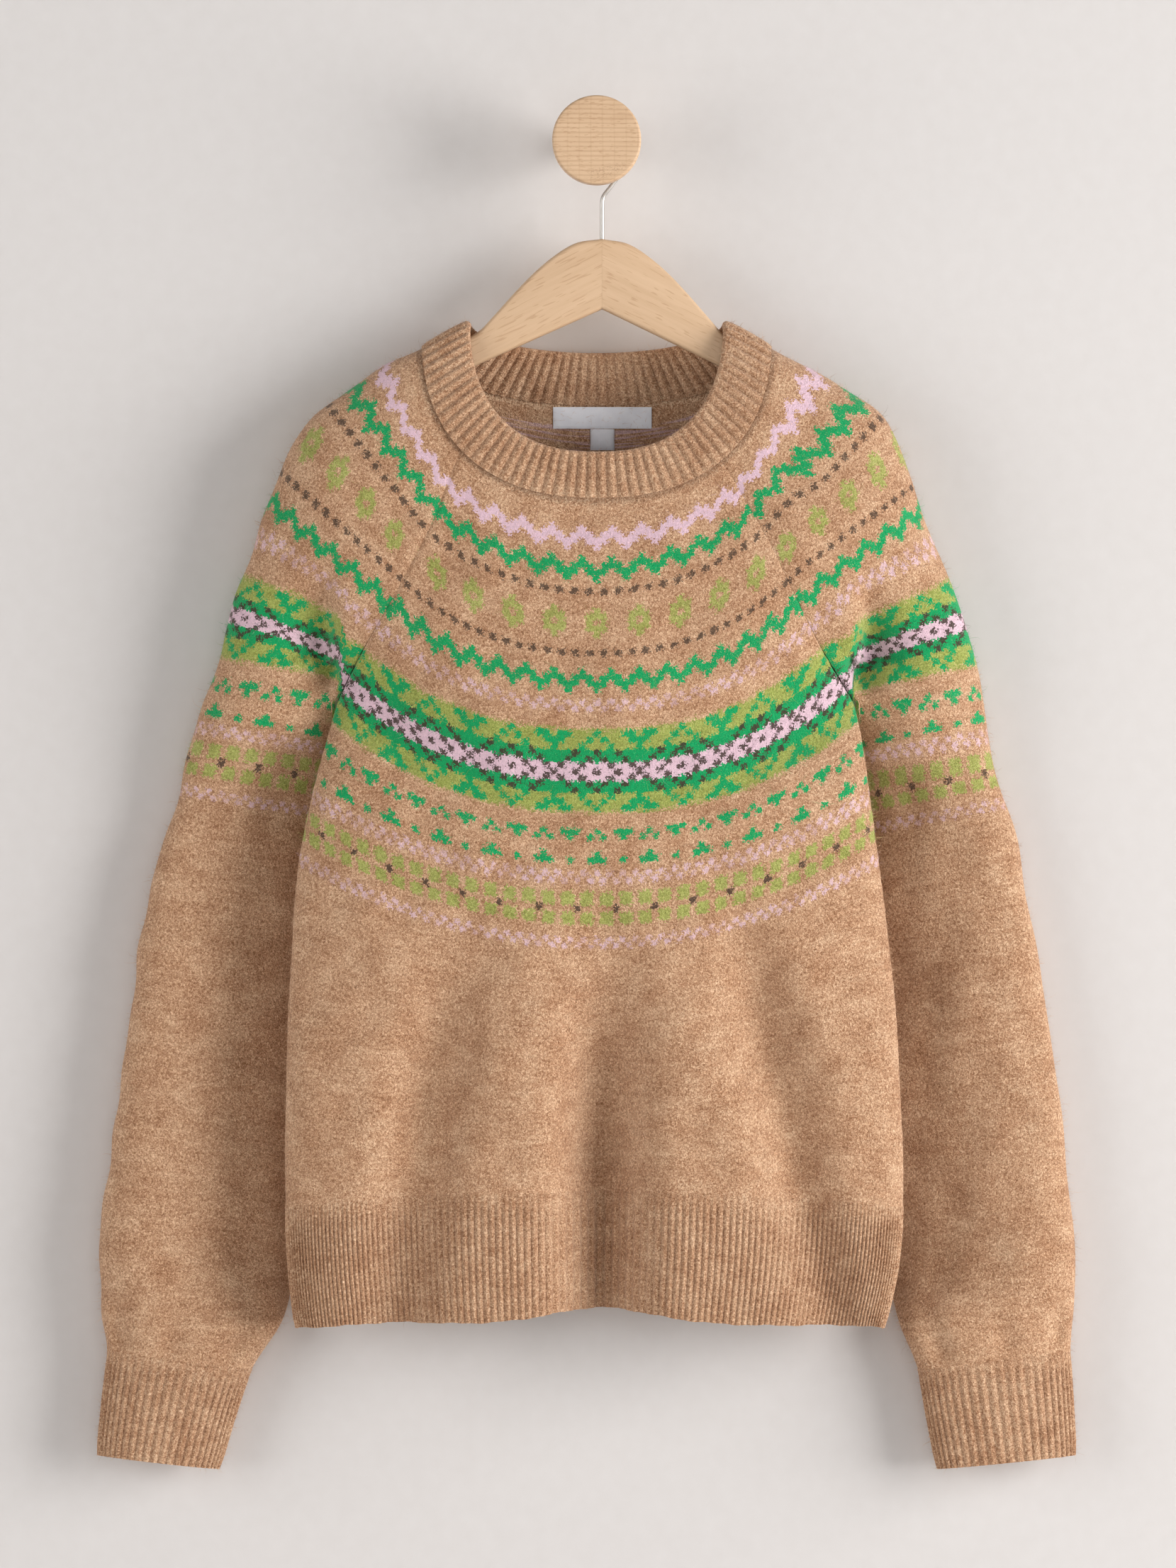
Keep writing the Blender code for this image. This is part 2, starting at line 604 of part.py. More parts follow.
def cuffs():
    """The ribbed cuffs: a tube each, with its ribs raised on the outside."""
    for name, side in (("cuff_left", -1), ("cuff_right", 1)):
        row, around = np.meshgrid(np.array(CUFF_ROWS), np.arange(CUFF_RIBS * 2) / CUFF_RIBS - 1.0,
                                  indexing="ij")
        points = sleeve_surface(row, around, side)
        wrapped = np.concatenate([points[:, -1:], points, points[:, :1]], axis=1)
        normals = grid_normals(wrapped, np.array([0.0, 0.0, 0.0]))[:, 1:-1]
        middle = points.mean(axis=1, keepdims=True)
        if (normals * (points - middle)).sum() < 0:
            normals = -normals
        normals[0] = level(normals[0])
        points[0] += unit(points[1] - points[0]) * SEAM_GAP
        raised = points + rib_rise(points.shape[1], True)[None, :, None] * normals
        inside = points - WALL * normals
        ring_wall(name, np.concatenate([raised, inside[::-1]]).transpose(1, 0, 2))


def neckband():
    """The doubled rib band: its section runs from the seam up the outside, over the folded edge and
    down the inside, with the ribs raised on both faces."""
    angle = even_angles(NECK_RIBS * 2)
    foot, edge = seam_ring(angle), edge_ring(angle)
    rise = unit(edge - foot)
    tangent = unit(np.roll(foot + edge, -1, axis=0) - np.roll(foot + edge, 1, axis=0))
    normal = unit(np.cross(tangent, rise))
    if (normal * (foot - foot.mean(axis=0)) * np.array([1.0, 1.0, 0.0])).sum() < 0:
        normal = -normal
    rib = (RIB_RISE * (np.arange(len(angle)) % 2))[:, None] * normal
    tall = np.linalg.norm(edge - foot, axis=1, keepdims=True)
    half = NECKBAND_THICK / 2

    def place(share, out, ribbed):
        return foot + rise * (NECK_GAP + share * (tall - NECK_GAP)) + normal * (out - half) + rib * ribbed

    section = [place(0.0, half, 0.5), place(0.5, half + 0.0006, 1.0), place(0.93, half * 0.8, 0.8),
               place(1.0, 0.0, 0.0), place(0.93, -half * 0.8, -0.8), place(0.0, -half, -0.5)]
    ring_wall("neckband", np.stack(section, axis=1))


def even_angles(count):
    """Angles round the neck that part the middle of the band evenly, so that its ribs are alike."""
    fine = np.linspace(-math.pi, math.pi, 1441)
    middle = (seam_ring(fine) + edge_ring(fine)) / 2
    length = np.concatenate([[0.0], np.cumsum(np.linalg.norm(np.diff(middle, axis=0), axis=1))])
    return np.interp(np.arange(count) / count * length[-1], length, fine)


def labels():
    """A plain white label below the back neck seam and a small tab under it, on the inside."""
    top = seam_ring(np.array([math.pi]))[0, 2] - 0.0012
    for name, width, height, z_top in (
        ("neck_label", LABEL_WIDTH, LABEL_HEIGHT, top),
        ("size_tab", TAB_WIDTH, TAB_HEIGHT, top - LABEL_HEIGHT - SEAM_GAP),
    ):
        x, z = np.meshgrid(LABEL_X + width * np.linspace(-0.5, 0.5, 9),
                           z_top - height * np.linspace(0.0, 1.0, 3))
        back_of_label = inside_back(x, z) + SEAM_GAP
        near = np.stack([x, back_of_label + LABEL_THICK, z], axis=-1)
        far = np.stack([x, back_of_label, z], axis=-1)
        wall(name, near, far, LABEL_WHITE, 0.55)


def inside_back(x, z):
    """Depth of the back panel's inner face near the centre back, with room for its flat facets."""
    row, across = grid(np.linspace(0.0, 30.0, 31), 60)
    angles = np.sign(across + 1e-12) * (math.pi - (math.pi - BACK_RAGLAN_ANGLE) * np.abs(across))
    points = on_neck(body_surface(row, across, False), row, angles).reshape(-1, 3)
    near = [np.argmin((points[:, 0] - a) ** 2 + (points[:, 2] - b) ** 2) for a, b in zip(x.flat, z.flat)]
    return points[near, 1].reshape(x.shape) + WALL + 0.0006


def hanger_sections():
    """Sections across the hanger from its left end to its right: rectangles with eased corners,
    which narrow to a rounded end."""
    stations = np.concatenate([[0.0], HANGER_TOP["x"][1:]])
    sections = []
    for x in np.concatenate([-stations[:0:-1], stations]):
        reach = abs(x)
        top = np.interp(reach, HANGER_TOP["x"], HANGER_TOP["z"])
        low = max(NOTCH_Z - NOTCH_SLOPE * reach, top - HANGER_TALLEST)
        fall = HANGER_TILT * x
        low = top - (top - low) * math.sqrt(1 - ease(HANGER_END - 0.016, HANGER_END + 0.001, reach) * 0.8)
        half_tall, half_thick = (top - low) / 2, HANGER_THICK / 2
        corner = min(HANGER_ROUND, half_tall * 0.8)
        ring = []
        for quarter in range(4):
            for turn in (0.0, 0.25, 0.5):
                angle = math.pi * (0.5 * quarter + turn)
                sign_z, sign_y = ((1, 1), (1, -1), (-1, -1), (-1, 1))[quarter]
                ring.append((HANGER_X + x,
                             HANG_DEPTH + sign_y * (half_thick - corner) + corner * math.cos(angle),
                             (top + low) / 2 - fall + sign_z * (half_tall - corner) + corner * math.sin(angle)))
        sections.append(ring)
    return np.array(sections)


def swept(name, sections, colour, roughness, metallic=0.0):
    """A closed piece through a row of closed sections, with a flat face over each end."""
    count, size = sections.shape[:2]
    faces = [(i * size + j, i * size + (j + 1) % size, (i + 1) * size + (j + 1) % size, (i + 1) * size + j)
             for i in range(count - 1) for j in range(size)]
    faces += [tuple(range(size)), tuple(range((count - 1) * size, count * size))]
    return make_object(name, to_world(sections.reshape(-1, 3)), faces, colour, roughness, metallic)


def hanger():
    """The hanger's wood, with a hole in its top for the hook."""
    wood = swept("hanger_wood", hanger_sections(), BEECH, 0.5)
    drill = turned("hook_hole", [(0.0, 0.0), (WIRE_RADIUS + HOLE_CLEARANCE, 0.0),
                                 (WIRE_RADIUS + HOLE_CLEARANCE, SHANK_IN_WOOD + 0.021),
                                 (0.0, SHANK_IN_WOOD + 0.021)], 12, BEECH, 0.5)
    for vertex in drill.data.vertices:
        across, along, up = vertex.co
        vertex.co = (HANGER_X + across, -HANG_DEPTH + up,
                     HANGER_TOP["z"][0] - SHANK_IN_WOOD - 0.001 - along)
    flip_if_inside_out(drill.data)
    drill.hide_render = True
    drill.display_type = "WIRE"
    cut = wood.modifiers.new("hole", "BOOLEAN")
    cut.operation = "DIFFERENCE"
    cut.object = drill


def flip_if_inside_out(mesh):
    shell = bmesh.new()
    shell.from_mesh(mesh)
    bmesh.ops.recalc_face_normals(shell, faces=shell.faces)
    shell.to_mesh(mesh)
    shell.free()


def turned(name, profile, sides, colour, roughness):
    """A piece turned about the y axis from (radius, depth) points; it starts and ends on the axis."""
    points, rings = [], []
    for radius, depth in profile:
        if radius == 0.0:
            rings.append([len(points)])
            points.append((0.0, -depth, 0.0))
            continue
        rings.append(list(range(len(points), len(points) + sides)))
        for k in range(sides):
            turn = 2 * math.pi * k / sides
            points.append((radius * math.cos(turn), -depth, radius * math.sin(turn)))
    faces = []
    for a, b in zip(rings, rings[1:]):
        for k in range(sides):
            if len(a) == 1:
                faces.append((a[0], b[k], b[(k + 1) % sides]))
            elif len(b) == 1:
                faces.append((a[k], b[0], a[(k + 1) % sides]))
            else:
                faces.append((a[k], b[k], b[(k + 1) % sides], a[(k + 1) % sides]))
    return make_object(name, points, faces, colour, roughness)


def wall_peg():
    """A turned beech peg: a stem out of the wall with a flat round knob on its end."""
    step = KNOB_ROUND * (1 - math.sqrt(0.5))
    profile = [
        (0.0, 0.0), (STEM_RADIUS, 0.0), (STEM_RADIUS, KNOB_BACK), (KNOB_RADIUS - KNOB_ROUND, KNOB_BACK),
        (KNOB_RADIUS - step, KNOB_BACK + step), (KNOB_RADIUS, KNOB_BACK + KNOB_ROUND),
        (KNOB_RADIUS, KNOB_FRONT - KNOB_ROUND), (KNOB_RADIUS - step, KNOB_FRONT - step),
        (KNOB_RADIUS - KNOB_ROUND, KNOB_FRONT), (0.0, KNOB_FRONT),
    ]
    turned("wall_peg", profile, 36, BEECH, 0.55)


def hook_path():
    """The wire's middle line: up out of the wood, a bend to the right, then round over the stem."""
    apex = STEM_RADIUS + SEAM_GAP + WIRE_RADIUS
    centre_z = apex - LOOP_RADIUS
    loop = [(LOOP_RADIUS * math.cos(a), centre_z + LOOP_RADIUS * math.sin(a))
            for a in np.linspace(LOOP_START, LOOP_END, 26)]
    foot = [(HANGER_X, HANGER_TOP["z"][0] - SHANK_IN_WOOD), (HANGER_X, -0.060), (HANGER_X, -0.045),
            (HANGER_X, SHANK_BEND_Z - 0.0035)]
    bend = [(HANGER_X + 0.0004, SHANK_BEND_Z - 0.0015), (HANGER_X + 0.0015, SHANK_BEND_Z + 0.0005),
            (HANGER_X + 0.0032, SHANK_BEND_Z + 0.0025)]
    meet = [((bend[-1][0] + loop[0][0]) / 2, (bend[-1][1] + loop[0][1]) / 2 - 0.0003)]
    return foot + bend + meet + loop


def hook():
    """The steel hook: a round wire along its path, which lies in one plane."""
    route = np.array(hook_path())
    along = unit(np.gradient(route, axis=0))
    side = np.stack([-along[:, 1], np.zeros(len(route)), along[:, 0]], axis=-1)
    out = np.array([0.0, 1.0, 0.0])
    sections = []
    for k in range(WIRE_SIDES):
        turn = 2 * math.pi * k / WIRE_SIDES
        sections.append(np.stack([route[:, 0], np.full(len(route), HANG_DEPTH), route[:, 1]], axis=-1)
                        + WIRE_RADIUS * (math.cos(turn) * side + math.sin(turn) * out))
    swept("hook", np.stack(sections, axis=1), STEEL, 0.3, 1.0)


def main():
    for item in list(bpy.data.objects):
        bpy.data.objects.remove(item)
    cloth_panels()
    hem_ribs()
    cuffs()
    neckband()
    labels()
    hanger()
    hook()
    wall_peg()


main()
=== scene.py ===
import math

import bpy
import numpy as np
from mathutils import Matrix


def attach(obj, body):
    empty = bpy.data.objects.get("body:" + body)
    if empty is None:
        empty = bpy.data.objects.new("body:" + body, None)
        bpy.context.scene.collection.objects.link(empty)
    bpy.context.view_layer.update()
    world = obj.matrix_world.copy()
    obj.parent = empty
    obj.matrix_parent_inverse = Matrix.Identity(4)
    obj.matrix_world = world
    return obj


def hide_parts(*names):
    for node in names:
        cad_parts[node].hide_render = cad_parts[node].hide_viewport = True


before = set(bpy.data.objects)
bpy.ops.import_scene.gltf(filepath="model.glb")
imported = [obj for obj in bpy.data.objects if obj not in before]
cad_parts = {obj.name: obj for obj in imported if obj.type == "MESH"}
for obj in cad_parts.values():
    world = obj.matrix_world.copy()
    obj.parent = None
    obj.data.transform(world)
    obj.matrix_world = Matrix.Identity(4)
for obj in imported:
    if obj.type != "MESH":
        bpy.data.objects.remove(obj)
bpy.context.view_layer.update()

# THE FRONT
# A knitted raglan panel in a brushed, hairy wool yarn, with bands of stranded colours on the yoke and
# plain camel below, linked to both sleeves along its raglan seams and to the back along its side
# seams. Rows are counted down from the neck seam, and depths from the wall.

KNIT_THICK = 0.0025
LINK_GAP = 0.0003
HANG_DEPTH = 0.042
UNDERARM_ROW, WELT_ROW, HEM_ROW = 49.0, 121.0, 141.0
# Where the raglan seams meet the neck ring; -1 is the viewer's left
FRONT_RAGLAN_ANGLE, BACK_RAGLAN_ANGLE = {-1: 0.840, 1: 0.745}, 2.433
NECK_ROUND, NECK_DEPTH_POWER = 0.06, 0.32
# The first rows of each panel are drawn onto the neck ring, and the body opens to a tube over others
DRAWN_ROWS, OPENING_ROWS, TUBE_POWER = 14.0, (34.0, 58.0), 2.3
FRONT_COLUMNS, FRONT_HAIRS = 140, 46000
HAIR_LENGTH, HAIR_HALF_WIDTH, HAIR_ROOT, WALL_GAP = 0.0040, (0.00004, 0.00007), 0.0003, 0.0004
# The cloth swells away from its seams and from its first and last rows
SOFT_SWELL, SWELL_FROM_SEAM, SWELL_FROM_TOP, SWELL_FROM_FOOT = 0.0010, 0.02, 8.0, 6.0
SEAM_SUNK, SEAM_PUCKER, SEAM_HALF_WIDTH = 0.0003, 0.0008, 0.0014
# Added to the row numbers of inner faces and of ribs
INSIDE, RIBBED = 300.0, 100.0
# From (x, depth, z) to the scene's axes, whose y runs into the wall
TO_SCENE = np.array([1.0, -1.0, 1.0])


def measured(names, *rows):
    """Measured places as a dictionary of columns."""
    return {name: np.array(column) for name, column in zip(names.split(), zip(*rows))}


# The neck seam, then the band's folded edge
NECK_RINGS = measured(
    "half_width side_z front_drop back_drop front_depth back_depth power",
    (0.1110, -0.1310, 0.0965, 0.0355, 0.0760, 0.0120, 2.30),
    (0.0810, -0.1140, 0.0835, 0.0190, 0.0710, 0.0155, 2.45),
)
FRONT_RAGLAN = measured(
    "row left right z depth",
    (0.0, 0.0850, 0.0790, -0.2060, 0.0728),
    (8.0, 0.0965, 0.0930, -0.2270, 0.0735),
    (18.0, 0.1115, 0.1110, -0.2575, 0.0735),
    (28.0, 0.1290, 0.1265, -0.2900, 0.0705),
    (38.0, 0.1490, 0.1440, -0.3240, 0.0610),
    (49.0, 0.1665, 0.1650, -0.3580, 0.0430),
)
SIDE_SEAM = measured(
    "row left right z depth",
    (49.0, 0.1665, 0.1650, -0.3580, 0.0430),
    (53.0, 0.1715, 0.1690, -0.3765, 0.0510),
    (60.0, 0.1800, 0.1735, -0.4085, 0.0545),
    (73.0, 0.1900, 0.1800, -0.4575, 0.0550),
    (90.0, 0.1960, 0.1895, -0.5360, 0.0550),
    (105.0, 0.1985, 0.1940, -0.6050, 0.0550),
    (121.0, 0.1985, 0.1955, -0.6780, 0.0550),
    (131.0, 0.1965, 0.1920, -0.7180, 0.0545),
    (141.0, 0.1925, 0.1840, -0.7555, 0.0530),
)
CENTRE_FRONT = measured(
    "row z depth bow",
    (0.0, -0.2275, 0.0760, 1.95),
    (15.0, -0.2850, 0.0820, 2.10),
    (30.0, -0.3435, 0.0860, 2.30),
    (49.0, -0.4180, 0.0880, 2.40),
    (60.0, -0.4605, 0.0880, 2.20),
    (73.0, -0.5110, 0.0880, 2.00),
    (97.0, -0.5870, 0.0880, 2.00),
    (121.0, -0.6680, 0.0870, 2.00),
    (141.0, -0.7515, 0.0860, 2.00),
)
FRONT_FOLDS = measured(
    "z_top z_full x_top x_hem half_width depth lift",
    (-0.480, -0.600, -0.088, -0.128, 0.023, 0.0210, 0.0020),
    (-0.470, -0.660, 0.004, 0.003, 0.025, 0.0400, 0.0090),
    (-0.450, -0.600, 0.080, 0.152, 0.022, 0.0240, 0.0010),
)
# Stitch widths change only in plain rows, between the bands
STITCH_WIDTH = measured(
    "row width",
    (0.0, 0.00475),
    (16.2, 0.00475),
    (17.2, 0.00450),
    (34.6, 0.00450),
    (35.4, 0.00454),
    (51.6, 0.00454),
    (53.3, 0.00420),
    (60.1, 0.00420),
    (60.6, 0.00410),
    (73.0, 0.00410),
    (80.0, 0.00460),
    (200.0, 0.00460),
)

# How far the bands lie from the rows that the grid counts
BODY_BANDS = measured(
    "row shift seam",
    (0.0, 0.0, 0.0),
    (7.0, -0.2, 0.0),
    (12.0, -0.3, 0.5),
    (15.0, -0.5, 0.3),
    (30.0, -0.5, 0.7),
    (38.0, -0.6, 0.2),
    (45.0, -0.75, 0.0),
    (55.0, -0.5, 0.0),
    (59.0, -0.2, 0.0),
    (66.0, -1.0, 0.0),
    (72.0, -1.2, 0.0),
    (80.0, -1.2, 0.0),
)


def at(table, column, where, key="row"):
    """A measured column at any place: a cubic through the places, with slopes from neighbours."""
    xs, ys = table[key], table[column]
    slopes = np.gradient(ys, xs)
    i = np.clip(np.searchsorted(xs, where, side="right") - 1, 0, len(xs) - 2)
    step = xs[i + 1] - xs[i]
    t = np.clip((where - xs[i]) / step, 0.0, 1.0)
    rise = ys[i + 1] - ys[i]
    return ys[i] + t * rise + t * (1 - t) * ((slopes[i] * step - rise) * (1 - t)
                                             - (slopes[i + 1] * step - rise) * t)


def ease(low, high, value):
    """0 below low, 1 above high, and smooth between."""
    t = np.clip((value - low) / (high - low), 0.0, 1.0)
    return t * t * (3 - 2 * t)


def unit(vectors):
    return vectors / np.maximum(np.linalg.norm(vectors, axis=-1, keepdims=True), 1e-12)


def seam_line(table, row, side):
    """Points (x, depth, z) on a seam; side is -1 for the viewer's left and 1 for the right."""
    return np.stack([side * at(table, "left" if side < 0 else "right", row),
                     at(table, "depth", row), at(table, "z", row)], axis=-1)


def long_seam(upper, lower, row, side):
    """A raglan seam to the underarm, and the seam that goes on below it."""
    return np.where((row > UNDERARM_ROW)[..., None], seam_line(lower, row, side),
                    seam_line(upper, row, side))


def neck_ring(angle, which):
    """A ring round the neck, from 0 at the centre front to pi at the centre back: a superellipse in
    front and an ellipse behind, highest and rounded over the shoulders."""
    front = np.cos(angle) >= 0
    reach = np.sqrt(np.cos(angle) ** 2 + NECK_ROUND ** 2) - NECK_ROUND
    reach = reach / (math.sqrt(1 + NECK_ROUND ** 2) - NECK_ROUND)
    shape = np.where(front, 2 / NECK_RINGS["power"][which], 1.0)
    drop = np.where(front, NECK_RINGS["front_drop"][which], NECK_RINGS["back_drop"][which])
    depth = np.where(front, NECK_RINGS["front_depth"][which], NECK_RINGS["back_depth"][which])
    x = NECK_RINGS["half_width"][which] * np.sign(np.sin(angle)) * np.abs(np.sin(angle)) ** shape
    return np.stack([x, HANG_DEPTH + (depth - HANG_DEPTH) * reach ** NECK_DEPTH_POWER,
                     NECK_RINGS["side_z"][which] - drop * reach ** shape], axis=-1)


def body_arch(row, reach):
    """How far the body stands out of its seams' plane, as a share: 1 - reach^2 on the yoke, and half
    of a flattened tube below the underarm."""
    tube = ease(*OPENING_ROWS, row)
    half_tube = (1 - np.minimum(reach, 1.0) ** TUBE_POWER) ** (1 / TUBE_POWER)
    return (1 - tube) * (1 - reach ** 2) + tube * half_tube


def body_surface(row, across, raglan, centre, folds, way):
    """The outer face of the front (way 1) or the back (way -1), as (x, depth, z). Each row bows down
    from its seams to the middle, by reach to the power bow, and stands out as a low arch; each fold
    is a trough exp(-(x - middle)^2 / width^2) that deepens and lifts towards the hem. Columns lie
    closer together towards the seams."""
    left, right = (long_seam(raglan, SIDE_SEAM, row, side) for side in (-1, 1))
    share = 0.35 * across + 0.65 * np.sin(across * math.pi / 2)
    edge = np.where((across < 0)[..., None], left, right)
    reach = np.abs(share)
    x = np.abs(edge[..., 0]) * share
    middle_z = at(centre, "z", row)
    z = middle_z + (edge[..., 2] - middle_z) * reach ** at(centre, "bow", row)
    arch = body_arch(row, reach)
    depth = edge[..., 1] + (at(centre, "depth", row) - edge[..., 1]) * arch
    hem_z = SIDE_SEAM["z"][-1]
    sunk, lifted = np.zeros(x.shape), np.zeros(x.shape)
    for z_top, z_full, x_top, x_hem, half_width, deep, lift in zip(*folds.values()):
        middle = x_top + (x_hem - x_top) * np.clip((z_top - z) / (z_top - hem_z), 0.0, 1.0)
        away = ((x - middle) / half_width) ** 2
        sunk = sunk + deep * ease(-z_top, -z_full, -z) * np.exp(-away)
        lifted = lifted + lift * ease(-z_full, -hem_z, -z) * np.exp(-away / 4)
    return np.stack([x, depth - way * sunk * arch, z + lifted], axis=-1)


def drawn_up(row, points, angles):
    """A grid whose first rows are moved so that its top lies on the neck ring."""
    return points + (1 - ease(0.0, DRAWN_ROWS, row)[..., None]) * (neck_ring(angles, 0) - points[:1])


def body_grid(rows, columns, raglan, centre, folds, way):
    """Rows by columns of a body panel, drawn up to the neck ring where they begin at it."""
    row, across = np.meshgrid(rows, np.linspace(-1.0, 1.0, columns + 1), indexing="ij")
    points = body_surface(row, across, raglan, centre, folds, way)
    if way > 0:
        angles = np.where(across < 0, FRONT_RAGLAN_ANGLE[-1], FRONT_RAGLAN_ANGLE[1]) * across
    else:
        angles = np.sign(across + 1e-12) * (math.pi - (math.pi - BACK_RAGLAN_ANGLE) * np.abs(across))
    return row, drawn_up(row, points, angles) if rows[0] == 0 else points


def normals_of(points, guide):
    """Unit normals of a grid, from the cross product of its two directions, turned to the guide."""
    normals = unit(np.cross(np.gradient(points, axis=0), np.gradient(points, axis=1)))
    return normals if (normals * guide).sum() > 0 else -normals


def softened(points, normals, size, seed):
    """Small hollows and swells of the soft cloth: a sum of twelve sine waves 25 to 90 mm long, of
    random direction and phase, moved along the normals."""
    rng = np.random.default_rng(seed)
    waves = rng.normal(size=(12, 3))
    waves = waves / np.linalg.norm(waves, axis=1, keepdims=True)
    waves = waves * (2 * math.pi / rng.uniform(0.025, 0.09, (12, 1)))
    height = np.sin(points @ waves.T + rng.uniform(0, 2 * math.pi, 12)).sum(axis=-1) / 12 ** 0.5
    return points + normals * (size * height)[..., None]


def stitches(row, points, middle, shift=0.0):
    """Stitch and row numbers of a grid over 100, for its UV map: the length along each row from the
    column at the middle, over the stitch's width."""
    step = np.linalg.norm(np.diff(points, axis=1), axis=2)
    length = np.concatenate([np.zeros((len(step), 1)), np.cumsum(step, axis=1)], axis=1)
    length = length - length[:, middle:middle + 1]
    return np.stack([length / np.interp(row, STITCH_WIDTH["row"], STITCH_WIDTH["width"]) + shift, row],
                    axis=-1) / 100


def cells(grid):
    """The four corners of each cell of a grid, in turn."""
    corners = np.stack([grid[:-1, :-1], grid[:-1, 1:], grid[1:, 1:], grid[1:, :-1]], axis=2)
    return corners.reshape(-1, 4, *grid.shape[2:])


def looks_in(points, quads):
    """Whether the quads of a closed mesh look inwards: the sign of its volume, as the sum of the
    tetrahedra from the origin to the two triangles of each quad."""
    a, b, c, d = (points[quads[:, k]] for k in range(4))
    return (a * np.cross(b, c)).sum() + (a * np.cross(c, d)).sum() < 0


def knitted(name, outer, inner, uv, material, closed=False):
    """A closed wall between two grids of (x, depth, z), joined round their edges. The inner face has
    the stitch numbers of the outer one and its own row numbers. closed joins the last column to the
    first, whose stitches go on from it."""
    rows, columns = outer.shape[:2]
    number = np.arange(rows * columns).reshape(rows, columns)
    if closed:
        number = np.concatenate([number, number[:, :1]], axis=1)
    inside = number + rows * columns

    def band(a, b):
        return np.stack([a[:-1], a[1:], b[1:], b[:-1]], axis=-1).reshape(-1, 4)

    face_out = cells(number)
    face_in = face_out[:, ::-1] + rows * columns
    edges = [band(number[-1], inside[-1]), band(number[0], inside[0])[:, ::-1]]
    if not closed:
        edges += [band(number[:, -1], inside[:, -1])[:, ::-1], band(number[:, 0], inside[:, 0])]
    edges = np.concatenate(edges)
    faces = np.concatenate([face_out, face_in, edges])
    corner_uv = uv.reshape(-1, 2)[faces % (rows * columns)]
    if closed:
        turn = columns * (uv[:, 1, 0] - uv[:, 0, 0]).mean()
        wrapped = (faces % columns == 0) & ((faces % columns).max(axis=1) > columns / 2)[:, None]
        corner_uv[..., 0] += turn * wrapped
    corner_uv[len(face_out):len(face_out) + len(face_in), :, 1] += INSIDE / 100
    points = np.concatenate([outer.reshape(-1, 3), inner.reshape(-1, 3)]) * TO_SCENE
    if looks_in(points, faces):
        faces, corner_uv = faces[:, ::-1], corner_uv[:, ::-1]
    return mesh_piece(name, points, faces, material, corner_uv)


def linked(name, mesh, material):
    """An object in the scene, with this mesh in its material."""
    mesh.materials.append(material)
    piece = bpy.data.objects.new(name, mesh)
    bpy.context.scene.collection.objects.link(piece)
    return piece


def mesh_piece(name, points, faces, material, corner_uv, shade=None):
    """A smooth mesh from arrays, with its UV map and, where given, the shade of each vertex."""
    mesh = bpy.data.meshes.new(name)
    mesh.from_pydata(points.tolist(), [], faces.tolist())
    mesh.uv_layers.new(name="knit").data.foreach_set("uv", corner_uv.astype(np.float32).ravel())
    if shade is not None:
        kept = mesh.attributes.new("shade", "FLOAT", "POINT")
        kept.data.foreach_set("value", shade.astype(np.float32))
    mesh.shade_smooth()
    mesh.set_sharp_from_angle(angle=math.radians(65.0))
    return linked(name, mesh, material)


